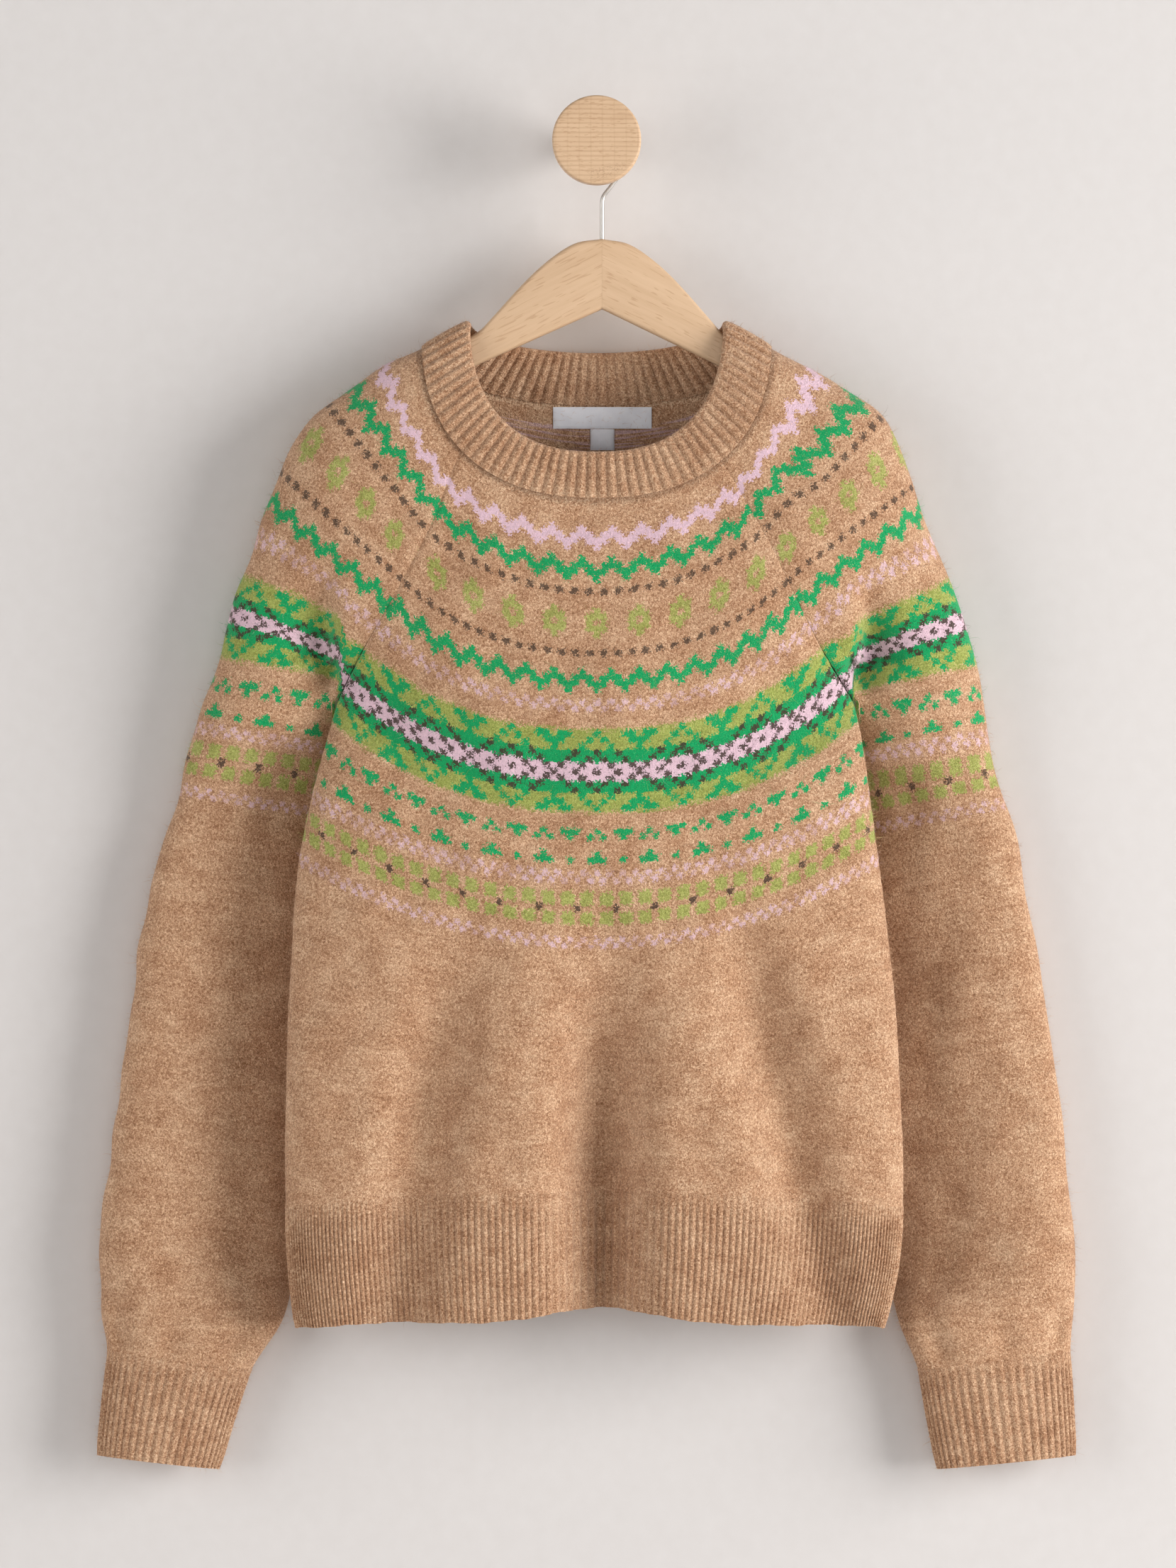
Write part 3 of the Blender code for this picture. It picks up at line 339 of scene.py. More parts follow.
def hairs(name, points, normals, uv, count, seed, material, length=HAIR_LENGTH, closed=False):
    """Loose fibres of the brushed face. Each is a strip of two steps, 0.55 and 0.45 of its length,
    rooted at random over the grid by area: the first step leans 0.45 to 1.45 radians from the
    normal, and the second 0.5 more, towards the cloth. All corners keep the stitch of the root."""
    rng = np.random.default_rng(seed)
    if closed:
        points, normals, uv = (np.concatenate([a, a[:, :1]], axis=1) for a in (points, normals, uv))
        uv[:, -1, 0] = 2 * uv[:, -2, 0] - uv[:, -3, 0]
    across, down = np.diff(points, axis=1)[:-1], np.diff(points, axis=0)[:, :-1]
    area = np.linalg.norm(np.cross(across, down), axis=-1).ravel()
    cell = np.searchsorted(np.cumsum(area) / area.sum(), rng.random(count))
    i, j = np.unravel_index(np.minimum(cell, area.size - 1), across.shape[:2])
    s, t = rng.random((2, count, 1))

    def spot(values):
        return ((values[i, j] * (1 - t) + values[i, j + 1] * t) * (1 - s)
                + (values[i + 1, j] * (1 - t) + values[i + 1, j + 1] * t) * s)

    root, normal, stitch = spot(points), unit(spot(normals)), spot(uv)
    side = unit(np.cross(normal, np.array([0.3, 0.2, 1.0])))
    turn = rng.random((count, 1)) * 2 * math.pi
    way = np.cos(turn) * side + np.sin(turn) * np.cross(normal, side)
    lean = rng.uniform(0.45, 1.45, (count, 1))
    long = length * rng.gamma(3.0, 1 / 3.0, (count, 1))
    bend = unit(way + 0.7 * np.cross(normal, way) * rng.uniform(-1, 1, (count, 1)))
    middle = root + 0.55 * long * (np.cos(lean) * normal + np.sin(lean) * way)
    tip = middle + 0.45 * long * (np.cos(lean + 0.5) * normal + np.sin(lean + 0.5) * bend)
    flat = unit(np.cross(way, normal)) * rng.uniform(*HAIR_HALF_WIDTH, (count, 1))
    root = root - HAIR_ROOT * normal
    corners = np.stack([root - flat, root + flat, middle + 0.8 * flat, middle - 0.8 * flat, tip], axis=1)
    # Behind the garment they lie flat against the wall
    corners[..., 1] = np.maximum(corners[..., 1], WALL_GAP)
    base = 5 * np.arange(count)[:, None]
    faces = np.concatenate([base + np.array(three) for three in ([0, 1, 2], [0, 2, 3], [3, 2, 4])])
    a, b, c = (corners.reshape(-1, 3)[faces[:, k]] for k in range(3))
    up = np.cross(b - a, c - a)
    lifted = np.concatenate([normal, normal, normal])
    faces = np.where(((up * lifted).sum(axis=-1) < 0)[:, None], faces, faces[:, ::-1])
    stitch = stitch[np.concatenate([np.arange(count)] * 3)][:, None, :].repeat(3, axis=1)
    shade = np.repeat(rng.uniform(0.15, 1.0, count), 5)
    return mesh_piece(name, corners.reshape(-1, 3) * TO_SCENE, faces, material, stitch, shade)


def added(operation, swapped=False):
    """A method of Sum that adds a Math node of it and the other values. swapped puts it last."""
    def method(self, *others):
        return self.math(operation, *((*others, self) if swapped else (self, *others)))
    return method


class Sum:
    """A socket of a material's node tree. + - * / and abs() on it add Math nodes, so that a formula
    over a surface reads as Python."""

    def __init__(self, tree, socket=None):
        self.tree, self.socket = tree, socket

    def node(self, kind, settings=None, inputs=None, output=0):
        """Adds a node: its settings, then the values or links of its sockets."""
        made = self.tree.nodes.new("ShaderNode" + kind)
        for name, value in (settings or {}).items():
            if name == "stops":
                while len(made.color_ramp.elements) < len(value):
                    made.color_ramp.elements.new(1.0)
                for element, (place, tint) in zip(made.color_ramp.elements, value):
                    element.position, element.color = place, tint
            elif name == "interpolation":
                made.color_ramp.interpolation = value
            else:
                setattr(made, name, value)
        for name, value in (inputs or {}).items():
            if isinstance(value, Sum):
                self.tree.links.new(value.socket, made.inputs[name])
            else:
                made.inputs[name].default_value = value
        return Sum(self.tree, made.outputs[output] if len(made.outputs) else None)

    def math(self, operation, *values):
        return self.node("Math", {"operation": operation}, dict(enumerate(values)))

    __add__, __radd__ = added("ADD"), added("ADD", swapped=True)
    __sub__, __rsub__ = added("SUBTRACT"), added("SUBTRACT", swapped=True)
    __mul__, __truediv__, __abs__ = added("MULTIPLY"), added("DIVIDE"), added("ABSOLUTE")
    near, over, under = added("COMPARE"), added("GREATER_THAN"), added("LESS_THAN")
    fold, most = added("PINGPONG"), added("MAXIMUM")

    def step(self, low, high):
        """0 at low, 1 at high, smooth between."""
        return self.node("MapRange", {"interpolation_type": "SMOOTHSTEP"},
                         {"Value": self, "From Min": low, "From Max": high})

    def mixed(self, other, share, how="MIX"):
        """This colour mixed with another by a share."""
        return self.node("Mix", {"data_type": "RGBA", "blend_type": how},
                         {0: share, 6: self, 7: other}, 2)

    def vector(self, operation, other):
        return self.node("VectorMath", {"operation": operation}, {0: self, 1: other})

    def noise(self, scale, detail=0.0, stretch=None, output=0, **more):
        """Noise over this vector, stretched along its axes first where given."""
        place = self if stretch is None else self.vector("MULTIPLY", stretch)
        return self.node("TexNoise", None, {"Vector": place, "Scale": scale, "Detail": detail, **more},
                         output)

    def bands(self, axis, scale, distortion, **more):
        """Waves along an axis of this vector."""
        more = {name.replace("_", " "): value for name, value in more.items()}
        return self.node("TexWave", {"wave_type": "BANDS", "bands_direction": axis},
                         {"Vector": self, "Scale": scale, "Distortion": distortion, **more}, "Fac")

    def parts(self):
        """The x, y and z of this vector."""
        split = self.node("SeparateXYZ", None, {0: self})
        return [Sum(self.tree, socket) for socket in split.socket.node.outputs]

    def ramp(self, *stops, interpolation="LINEAR"):
        """A colour for this value, from the places and colours of a ramp's stops."""
        return self.node("ValToRGB", {"interpolation": interpolation, "stops": stops}, {0: self})

    def bump(self, strength, distance):
        """The normal of a surface raised by this height."""
        return self.node("Bump", None, {"Strength": strength, "Distance": distance, "Height": self})


def new_material(name):
    """A material, a start for its nodes, and the place of each point of its surface."""
    made = bpy.data.materials.new(name)
    made.use_nodes = True
    made.node_tree.nodes.clear()
    start = Sum(made.node_tree)
    return made, start, start.node("TexCoord", output="Object")


def colour(red, green, blue):
    """A colour for a socket, from display values."""
    linear = (((c + 0.055) / 1.055) ** 2.4 if c > 0.04045 else c / 12.92 for c in (red, green, blue))
    return (*linear, 1.0)


def surface(start, **sockets):
    """A Principled surface and the material's output."""
    sockets = {name.replace("_", " "): value for name, value in sockets.items()}
    shader = start.node("BsdfPrincipled", None, sockets)
    start.node("OutputMaterial", None, {"Surface": shader})


TAN_DARK, TAN = colour(0.595, 0.415, 0.288), colour(0.745, 0.577, 0.445)
TAN_LIGHT = colour(0.875, 0.742, 0.612)
GREEN, PINK, DARK = colour(0.03, 0.625, 0.365), colour(0.88, 0.755, 0.805), colour(0.27, 0.215, 0.18)
LIME, LIME_DARK = colour(0.66, 0.705, 0.37), colour(0.53, 0.57, 0.26)

# The rows of the bands: their middles, or the first row of the motifs
PINK_ZIGZAG, GREEN_ZIGZAGS, DOTS, DIAMONDS = 7.5, (12.5, 30.5), (15.0, 25.0), 20.0
CHECKS, FLOWERS, MOTIF_TOP, SQUARES = (33.5, 61.5, 71.5), 44.0, 54.0, 66.0

# One quarter of the flower band's repeat, from the flower's middle outwards and down: pink, green,
# dark and lime
FLOWER = "DPPDPPD" "PPDPPDP" "GDGGDGG" "DGGDGGG" "LLGLLLG" "LGLLLGG" "GLLLGGL"
# Small motifs in rows 54 to 59, half of their repeat of 8
MOTIFS = "G..GG" ".G..G" "....." "....." "G...." "GG..G"


def chart_stops(chart, yarns):
    """Stops of a stepped ramp that reads a chart cell by cell."""
    starts = [k for k in range(len(chart)) if k == 0 or chart[k] != chart[k - 1]]
    return [(k / len(chart), yarns[chart[k]]) for k in starts]


brushed_wool, start, where = new_material("brushed_wool")
stitch = start.node("UVMap", {"uv_map": "knit"})
shade = start.node("Attribute", {"attribute_name": "shade"}, output="Fac")
# Brushed edges: each point reads the chart about half a stitch away at most
stray = where.noise(750.0, 2.0, output="Color").vector("SUBTRACT", (0.5, 0.5, 0.5))
placed, placed_row, _ = stitch.vector("ADD", stray.vector("MULTIPLY", (0.021, 0.021, 0.0))).parts()
column_at, row_at = placed * 100.0, placed_row * 100.0
column, row = column_at.math("ROUND", column_at), row_at.math("ROUND", row_at)
beside, below = column_at - column, row_at - row
from_middle = beside * beside + below * below
spot, large_spot = from_middle.step(0.36, 0.14), from_middle.step(0.52, 0.30)
# The camel yarn: light and dark flecks, rows a little lighter or darker in turn, and soft patches
flecks = where.noise(820.0, 2.0, Distortion=0.8)
fine = where.noise(2100.0, 1.0)
rows_of_yarn = stitch.noise(100.0, 1.0, (0.22, 0.95, 0.0))
patches = where.noise(60.0, 1.0)
tone = flecks * 0.48 + fine * 0.28 + rows_of_yarn * 0.09 + patches * 0.15
cloth = (tone + shade * 0.05).ramp((0.385, TAN_DARK), (0.50, TAN), (0.62, TAN_LIGHT))
# Zigzags, their steps rounded off
waves = row + below * 0.6 + (column + beside * 0.6).fold(2.0)
pink = waves.near(PINK_ZIGZAG, 0.95)
green = waves.near(GREEN_ZIGZAGS[0], 0.95).most(waves.near(GREEN_ZIGZAGS[1], 0.95))
# Dots, diamonds, checks and squares, counted from the nearest middle of their repeats
three = column.fold(3.0)
dots = column.fold(1.0) * sum(row.near(middle, 0.5) for middle in DOTS) * large_spot
diamonds = (three + abs(row - DIAMONDS)).near(1.5, 0.6) * three.under(1.5)
checks = (column + row).fold(1.0) * sum(row.near(middle, 0.6) for middle in CHECKS) * spot
squares = abs(row - SQUARES).near(1.5, 0.6) * column.math("FLOORED_MODULO", column, 3.0).over(0.5)
square_dots = row.near(SQUARES, 0.5) * three.over(2.5) * large_spot
# The charts, read cell by cell
in_chart = (abs(row - FLOWERS) * 7.0 + column.fold(6.0) + 0.5) / 49.0
yes, no = (1.0, 1.0, 1.0, 1.0), (0.0, 0.0, 0.0, 1.0)
flower, flower_dark, flower_lime = (
    in_chart.ramp(*chart_stops(FLOWER, yarns), interpolation="CONSTANT")
    for yarns in ({"P": PINK, "G": GREEN, "D": GREEN, "L": LIME},
                  {"P": no, "G": no, "D": yes, "L": no},
                  {"P": no, "G": no, "D": no, "L": yes}))
in_motifs = ((row - MOTIF_TOP) * 5.0 + column.fold(4.0) + 0.5) / 30.0
motif = in_motifs.ramp(*chart_stops(MOTIFS, {"G": yes, ".": no}), interpolation="CONSTANT")
green = green.most(motif * row.near(MOTIF_TOP + 2.5, 2.6))
# The pale olive mixes with the camel yarn, most of all where its rows begin and end
lime = tone.ramp((0.38, LIME_DARK), (0.58, LIME))
ragged = (flecks - 0.5) * 2.6 + (rows_of_yarn - 0.5) * 1.5
band = (abs(row_at - FLOWERS) + ragged).step(7.1, 6.3)
showing = 1.0 - fine.step(0.60, 0.70) * 0.35
worn_off = 1.0 - fine.step(0.62, 0.72) * 0.3
cloth = cloth.mixed(lime, band.most(diamonds * 0.85).most(squares * 0.88) * showing)
cloth = cloth.mixed(GREEN, green * worn_off)
cloth = cloth.mixed(PINK, pink.most(checks * (patches.step(0.42, 0.56) * 0.35 + 0.40)) * worn_off)
in_flower = row.near(FLOWERS, 6.5)
cloth = cloth.mixed(flower, in_flower * (1.0 - flower_lime) * (1.0 - fine.step(0.64, 0.74) * 0.2))
cloth = cloth.mixed(PINK, flower_dark * abs(row - FLOWERS).under(1.5) * in_flower)
flower_dots = flower_dark * in_flower * large_spot * 0.94
cloth = cloth.mixed(DARK, flower_dots.most(dots * 0.85).most(square_dots * 0.9))
# Inside, the carried strands of the first bands show as pale streaks, under the chain of the seam
strands = stitch.noise(100.0, 2.0, (0.10, 2.2, 0.0))
cloth = cloth.mixed(PINK, row_at.near(INSIDE + 6.5, 3.4) * strands.step(0.47, 0.62) * 0.55)
cloth = cloth.mixed(GREEN, row_at.near(INSIDE + 11.5, 2.6) * strands.step(0.5, 0.65) * 0.5)
cloth = cloth.mixed(TAN_LIGHT, row_at.near(INSIDE + 0.5, 0.6) * flecks.step(0.42, 0.60) * 0.8)
# Ribs have the row numbers 179 to 291, and the grooves between them lie deep in the nap: painted shade
# darkens the yarn in them
groove_shade = column_at.fold(1.0) * row_at.near(235.0, 56.0)
# Random lighter and darker flecks of the yarn, then painted shade in the rib grooves and on the rows
# beside the neck seam, all multiplied into the colour
fleck_tone_and_painted_shade = start.node("MapRange", None, {"Value": flecks * 0.5 + fine * 0.5, "From Min": 0.35,
                                     "From Max": 0.65, "To Min": 0.84, "To Max": 1.16})
fleck_tone_and_painted_shade = fleck_tone_and_painted_shade * (1.0 - groove_shade * groove_shade * 0.15)
# The rows next to the linked neck seam lie in its shade
fleck_tone_and_painted_shade = fleck_tone_and_painted_shade * (1.0 - row_at.step(1.5, 0.2) * 0.36)
cloth = cloth.mixed(start.node("CombineColor", None, {0: fleck_tone_and_painted_shade, 1: fleck_tone_and_painted_shade, 2: fleck_tone_and_painted_shade}), 1.0, "MULTIPLY")
# Each stitch is a V: its two legs rise to the middle of the row
leg = abs(beside)
knit_rows = (row_at + leg * 0.9).fold(0.5)
height = knit_rows * 0.8 + flecks * 1.5 + fine * 0.8 - leg * 0.5
surface(start, Base_Color=cloth, Roughness=0.92, Normal=height.bump(0.7, 0.0010), Sheen_Weight=0.25,
        Sheen_Roughness=0.45, Sheen_Tint=(1.0, 0.93, 0.85, 1.0), Specular_IOR_Level=0.2)

body_rows = np.arange(0.0, WELT_ROW + 0.5, 1.0)
row_grid, front_out = body_grid(body_rows, FRONT_COLUMNS, FRONT_RAGLAN, CENTRE_FRONT, FRONT_FOLDS, 1)
near_seam = ease(0.5, 1.0, np.abs(np.linspace(-1.0, 1.0, FRONT_COLUMNS + 1)))
band_row = row_grid + at(BODY_BANDS, "shift", row_grid) + at(BODY_BANDS, "seam", row_grid) * near_seam
front_uv = stitches(band_row, front_out, FRONT_COLUMNS // 2)


def body_wall(points, guide, seed):
    """The outer and inner face of a panel and its normals: softened, with its edges sunk a little at
    the linked seams, by more in some places than in others."""
    normals = normals_of(points, guide)
    seam = np.minimum(*(np.linalg.norm(points - points[:, [edge]], axis=-1) for edge in (0, -1)))
    row = np.arange(len(points))[:, None]
    middle = (ease(0.0, SWELL_FROM_SEAM, seam) * ease(0.0, SWELL_FROM_TOP, row)
              * ease(0.0, SWELL_FROM_FOOT, row[::-1]))
    points = softened(points, normals, SOFT_SWELL * middle, seed)
    tight = 0.5 + 0.5 * np.sin(points[..., 2] * 300.0) * np.sin(points[..., 2] * 1130.0 + 1.0)
    sunk = (SEAM_SUNK + SEAM_PUCKER * tight) * np.exp(-(seam / SEAM_HALF_WIDTH) ** 2)
    points = points - normals * sunk[..., None]
    return points, points - normals * KNIT_THICK, normals


front_out, front_in, front_normals = body_wall(front_out, np.array([0.0, 1.0, 0.0]), 3)
front = knitted("front_panel", front_out, front_in, front_uv, brushed_wool)
front_hairs = hairs("front_hairs", front_out, front_normals, front_uv, FRONT_HAIRS, 11, brushed_wool)
for piece in (front, front_hairs):
    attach(piece, "root")
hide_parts("front")

# THE BACK
# The same panel behind, with a higher neck. Inside its neck the carried strands of the first bands
# show, under the chain of pale thread that links it to the neckband.

BACK_RAGLAN = measured(
    "row left right z depth",
    (0.0, 0.0722, 0.0722, -0.1554, 0.0145),
    (8.0, 0.0870, 0.0870, -0.1830, 0.0150),
    (18.0, 0.1050, 0.1050, -0.2190, 0.0135),
    (28.0, 0.1240, 0.1235, -0.2590, 0.0150),
    (38.0, 0.1455, 0.1440, -0.3050, 0.0230),
    (49.0, 0.1665, 0.1650, -0.3580, 0.0430),
)
CENTRE_BACK = measured(
    "row z depth bow",
    (0.0, -0.1620, 0.0120, 2.00),
    (15.0, -0.2300, 0.0110, 2.00),
    (30.0, -0.2960, 0.0110, 2.00),
    (49.0, -0.3760, 0.0110, 2.00),
    (73.0, -0.4720, 0.0120, 2.00),
    (97.0, -0.5720, 0.0120, 2.00),
    (121.0, -0.6620, 0.0120, 2.00),
    (141.0, -0.7380, 0.0120, 2.00),
)
BACK_FOLDS = measured(
    "z_top z_full x_top x_hem half_width depth lift",
    (-0.460, -0.640, -0.060, -0.095, 0.024, 0.0090, 0.0),
    (-0.490, -0.680, 0.045, 0.030, 0.022, 0.0110, 0.0),
    (-0.470, -0.620, 0.115, 0.135, 0.020, 0.0070, 0.0),
)
BACK_COLUMNS, BACK_HAIRS, BACK_NECK_HAIRS = 120, 22000, 5000
row_grid, back_out = body_grid(body_rows, BACK_COLUMNS, BACK_RAGLAN, CENTRE_BACK, BACK_FOLDS, -1)
back_uv = stitches(row_grid + at(BODY_BANDS, "shift", row_grid), back_out, BACK_COLUMNS // 2)
back_out, back_in, back_normals = body_wall(back_out, np.array([0.0, -1.0, 0.0]), 4)
back = knitted("back_panel", back_out, back_in, back_uv, brushed_wool)
back_hairs = hairs("back_hairs", back_out, back_normals, back_uv, BACK_HAIRS, 12, brushed_wool)
# The rows that show inside the neck
seen_rows = slice(0, 30)
inside_uv = back_uv[seen_rows] + np.array([0.0, INSIDE / 100])
back_neck_hairs = hairs("back_neck_hairs", back_in[seen_rows], -back_normals[seen_rows], inside_uv,
                        BACK_NECK_HAIRS, 13, brushed_wool)
for piece in (back, back_hairs, back_neck_hairs):
    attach(piece, "root")
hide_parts("back")

# THE SLEEVES
# Raglan sleeves of the same yarn, whose bands go on from those of the body: flat tubes below the
# underarm that end in gathers at the cuffs.

CUFF_ROW, CUFF_END_ROW = 168.0, 184.0
SLEEVE_OUTER = measured(
    "row left right z depth full",
    (0.0, 0.1110, 0.1110, -0.1310, 0.0420, 0.0260),
    (7.0, 0.1370, 0.1330, -0.1440, 0.0420, 0.0300),
    (12.5, 0.1610, 0.1590, -0.1590, 0.0420, 0.0320),
    (17.5, 0.1815, 0.1820, -0.1745, 0.0420, 0.0330),
    (21.0, 0.1910, 0.1910, -0.1890, 0.0415, 0.0330),
    (25.5, 0.2025, 0.2000, -0.2130, 0.0400, 0.0320),
    (31.0, 0.2115, 0.2080, -0.2350, 0.0385, 0.0310),
    (36.0, 0.2235, 0.2205, -0.2670, 0.0365, 0.0295),
    (44.5, 0.2360, 0.2350, -0.3070, 0.0330, 0.0265),
    (49.0, 0.2400, 0.2390, -0.3240, 0.0310, 0.0245),
    (60.0, 0.2540, 0.2485, -0.3650, 0.0275, 0.0210),
    (73.0, 0.2670, 0.2590, -0.4110, 0.0255, 0.0195),
    (90.0, 0.2845, 0.2745, -0.4760, 0.0250, 0.0190),
    (110.0, 0.2975, 0.2880, -0.5520, 0.0250, 0.0190),
    (130.0, 0.3080, 0.2975, -0.6280, 0.0250, 0.0190),
    (148.0, 0.3165, 0.3045, -0.6960, 0.0250, 0.0190),
    (160.0, 0.3170, 0.3055, -0.7400, 0.0250, 0.0185),
    (168.0, 0.3130, 0.3030, -0.7710, 0.0245, 0.0155),
    (176.0, 0.3160, 0.3045, -0.8030, 0.0240, 0.0140),
    (184.0, 0.3195, 0.3065, -0.8380, 0.0240, 0.0135),
)
SLEEVE_INNER = measured(
    "row left right z depth",
    (49.0, 0.1665, 0.1650, -0.3580, 0.0430),
    (53.0, 0.1665, 0.1655, -0.3700, 0.0340),
    (60.0, 0.1690, 0.1680, -0.3920, 0.0270),
    (73.0, 0.1740, 0.1715, -0.4290, 0.0250),
    (90.0, 0.1790, 0.1760, -0.4930, 0.0250),
    (110.0, 0.1840, 0.1800, -0.5680, 0.0250),
    (130.0, 0.1880, 0.1835, -0.6430, 0.0250),
    (148.0, 0.1940, 0.1865, -0.7120, 0.0250),
    (160.0, 0.2010, 0.1930, -0.7530, 0.0250),
    (168.0, 0.2200, 0.2050, -0.7830, 0.0245),
    (176.0, 0.2310, 0.2110, -0.8130, 0.0240),
    (184.0, 0.2410, 0.2175, -0.8470, 0.0240),
)
CUFF_GATHERS = measured(
    "around half_width depth",
    (-0.72, 0.060, 0.0040),
    (-0.45, 0.050, 0.0030),
    (-0.20, 0.055, 0.0035),
    (0.25, 0.055, 0.0035),
    (0.50, 0.050, 0.0030),
    (0.75, 0.060, 0.0035),
)
GATHER_ROWS, SLEEVE_OPENING_ROWS = 12.0, (38.0, 60.0)
CREASE_X, CREASE_Z = (0.1720, 0.1740), (-0.2560, -0.3300)
CREASE_DEPTH, CREASE_HALF_WIDTH = 0.019, (0.0065, 0.018)
# Falls below the origin between which the crease ends, and the tuck beside the body begins and ends
CREASE_ENDS, TUCK_BEGINS, TUCK_ENDS = (0.335, 0.360), (0.362, 0.430), (0.720, 0.765)
TUCK_DROP, TUCK_WIDTH, WALL_CLEAR = 0.022, 0.105, 0.0035
BEHIND_BODY, BEHIND_SLOPE, BEHIND_BLEND = 0.0015, 2.5, 0.004
# The bands run flatter beyond the crease than on the body's side of it, where they follow the body
SLEEVE_BANDS = {
    -1: measured(
        "row outer crease",
        (30.0, 0.0, 0.0),
        (34.0, 0.0, 1.6),
        (38.0, -0.3, 2.4),
        (42.0, 0.9, 4.6),
        (44.0, 1.2, 5.9),
        (50.0, 0.6, 5.2),
        (55.0, 0.0, 3.2),
        (60.0, -0.3, 2.4),
        (65.0, -1.1, 1.0),
        (69.0, -1.8, -0.8),
        (73.0, -1.8, -1.3),
        (80.0, -1.8, -1.4),
    ),
    1: measured(
        "row outer crease",
        (0.0, 0.0, 0.0),
        (5.0, -1.0, -1.0),
        (10.0, -2.0, -2.0),
        (15.0, -2.6, -2.6),
        (20.0, -2.3, -1.9),
        (25.0, -2.2, -0.6),
        (30.0, -1.5, 0.0),
        (34.0, -0.9, 0.8),
        (38.0, -1.0, 0.6),
        (42.0, -0.3, 2.2),
        (46.0, -0.1, 3.6),
        (50.0, -0.6, 3.4),
        (53.0, -1.1, 2.6),
        (57.0, -1.6, 1.4),
        (61.0, -1.6, 1.2),
        (65.0, -2.6, -0.9),
        (70.0, -4.2, -3.3),
        (76.0, -4.2, -4.3),
    ),
}
FOLD_LINE = measured(
    "fall left right",
    (0.150, 0.1690, 0.1360),
    (0.190, 0.1690, 0.1400),
    (0.250, 0.1690, 0.1580),
    (0.330, 0.1630, 0.1650),
    (0.358, 0.1665, 0.1650),
    (0.409, 0.1780, 0.1720),
    (0.458, 0.1880, 0.1780),
)


def sleeve_surface(row, around, side):
    """The outer face of a sleeve, as (x, depth, z). around runs from -1 at the front seam over the
    shoulder line at 0 to 1 at the back seam. Each row is an arc from a seam to the shoulder line: a
    quarter of an ellipse on the yoke, which opens to a half below the underarm."""
    outer = seam_line(SLEEVE_OUTER, row, side)
    full = at(SLEEVE_OUTER, "full", row)
    halves = []
    for raglan, way in ((FRONT_RAGLAN, 1.0), (BACK_RAGLAN, -1.0)):
        seam = long_seam(raglan, SLEEVE_INNER, row, side)
        first = -math.pi / 2 * ease(*SLEEVE_OPENING_ROWS, row)
        angle = first + (math.pi / 2 - first) * (1 - np.abs(around))
        share = ((np.sin(angle) - np.sin(first)) / (1 - np.sin(first)))[..., None]
        point = seam + (outer - seam) * share
        point[..., 1] += way * full * (np.cos(angle) - (1 - share[..., 0]) * np.cos(first))
        halves.append(point)
    point = np.where((around < 0)[..., None], halves[0], halves[1])
    near = ease(CUFF_ROW - GATHER_ROWS, CUFF_ROW - 2.0, row) * (1 - ease(CUFF_ROW - 2.0, CUFF_ROW, row))
    sunk = sum(depth * np.exp(-(((around - place) / width) ** 2))
               for place, width, depth in zip(*CUFF_GATHERS.values()))
    point[..., 1] += sunk * near * np.sign(around)
    return behind_body(point, around, side)


def behind_body(point, around, side):
    """The crease beside the body: a trough that begins on the yoke, and below the underarm a smooth
    limit that keeps the sleeve behind the body's rounded side."""
    reach, z = np.abs(point[..., 0]), point[..., 2]
    row = np.interp(-z, -SIDE_SEAM["z"], SIDE_SEAM["row"])
    edge = at(SIDE_SEAM, "left" if side < 0 else "right", row)
    seam_depth = at(SIDE_SEAM, "depth", row)
    along = (CREASE_Z[0] - z) / (CREASE_Z[0] - CREASE_Z[1])
    middle = np.where(along < 1.0, CREASE_X[0] + (CREASE_X[1] - CREASE_X[0]) * along, edge + 0.002)
    sunk = CREASE_DEPTH * ease(-CREASE_Z[0], -CREASE_Z[1], -z) * (1 - ease(*CREASE_ENDS, -z))
    half_width = np.where(reach < middle, *CREASE_HALF_WIDTH)
    sunk = sunk * np.exp(-(((reach - middle) / half_width) ** 2)) * (around < 0)
    depth = point[..., 1] - sunk * ease(0.0, 0.10, 1 - np.abs(around))
    arch = body_arch(row, np.minimum(reach / edge, 1.0))
    back_face = seam_depth - (seam_depth - at(CENTRE_BACK, "depth", row)) * arch
    # Beside the body the sleeve falls away towards the wall, and never through it
    drop = TUCK_DROP * (1 - ease(-0.005, TUCK_WIDTH, reach - edge)) * ease(*TUCK_BEGINS, -z)
    depth = np.maximum(depth - drop * (1 - ease(*TUCK_ENDS, -z)), WALL_CLEAR)
    limit = back_face - BEHIND_BODY + BEHIND_SLOPE * np.maximum(reach - edge, 0.0)
    limit = np.where(z < SIDE_SEAM["z"][0], limit, 1.0)
    blend = np.clip(0.5 + (limit - depth) / BEHIND_BLEND, 0.0, 1.0)
    low = limit + (depth - limit) * blend - BEHIND_BLEND / 2 * blend * (1 - blend)
    point[..., 1] = np.where(np.abs(around) < 1.0, low, depth)
    return point


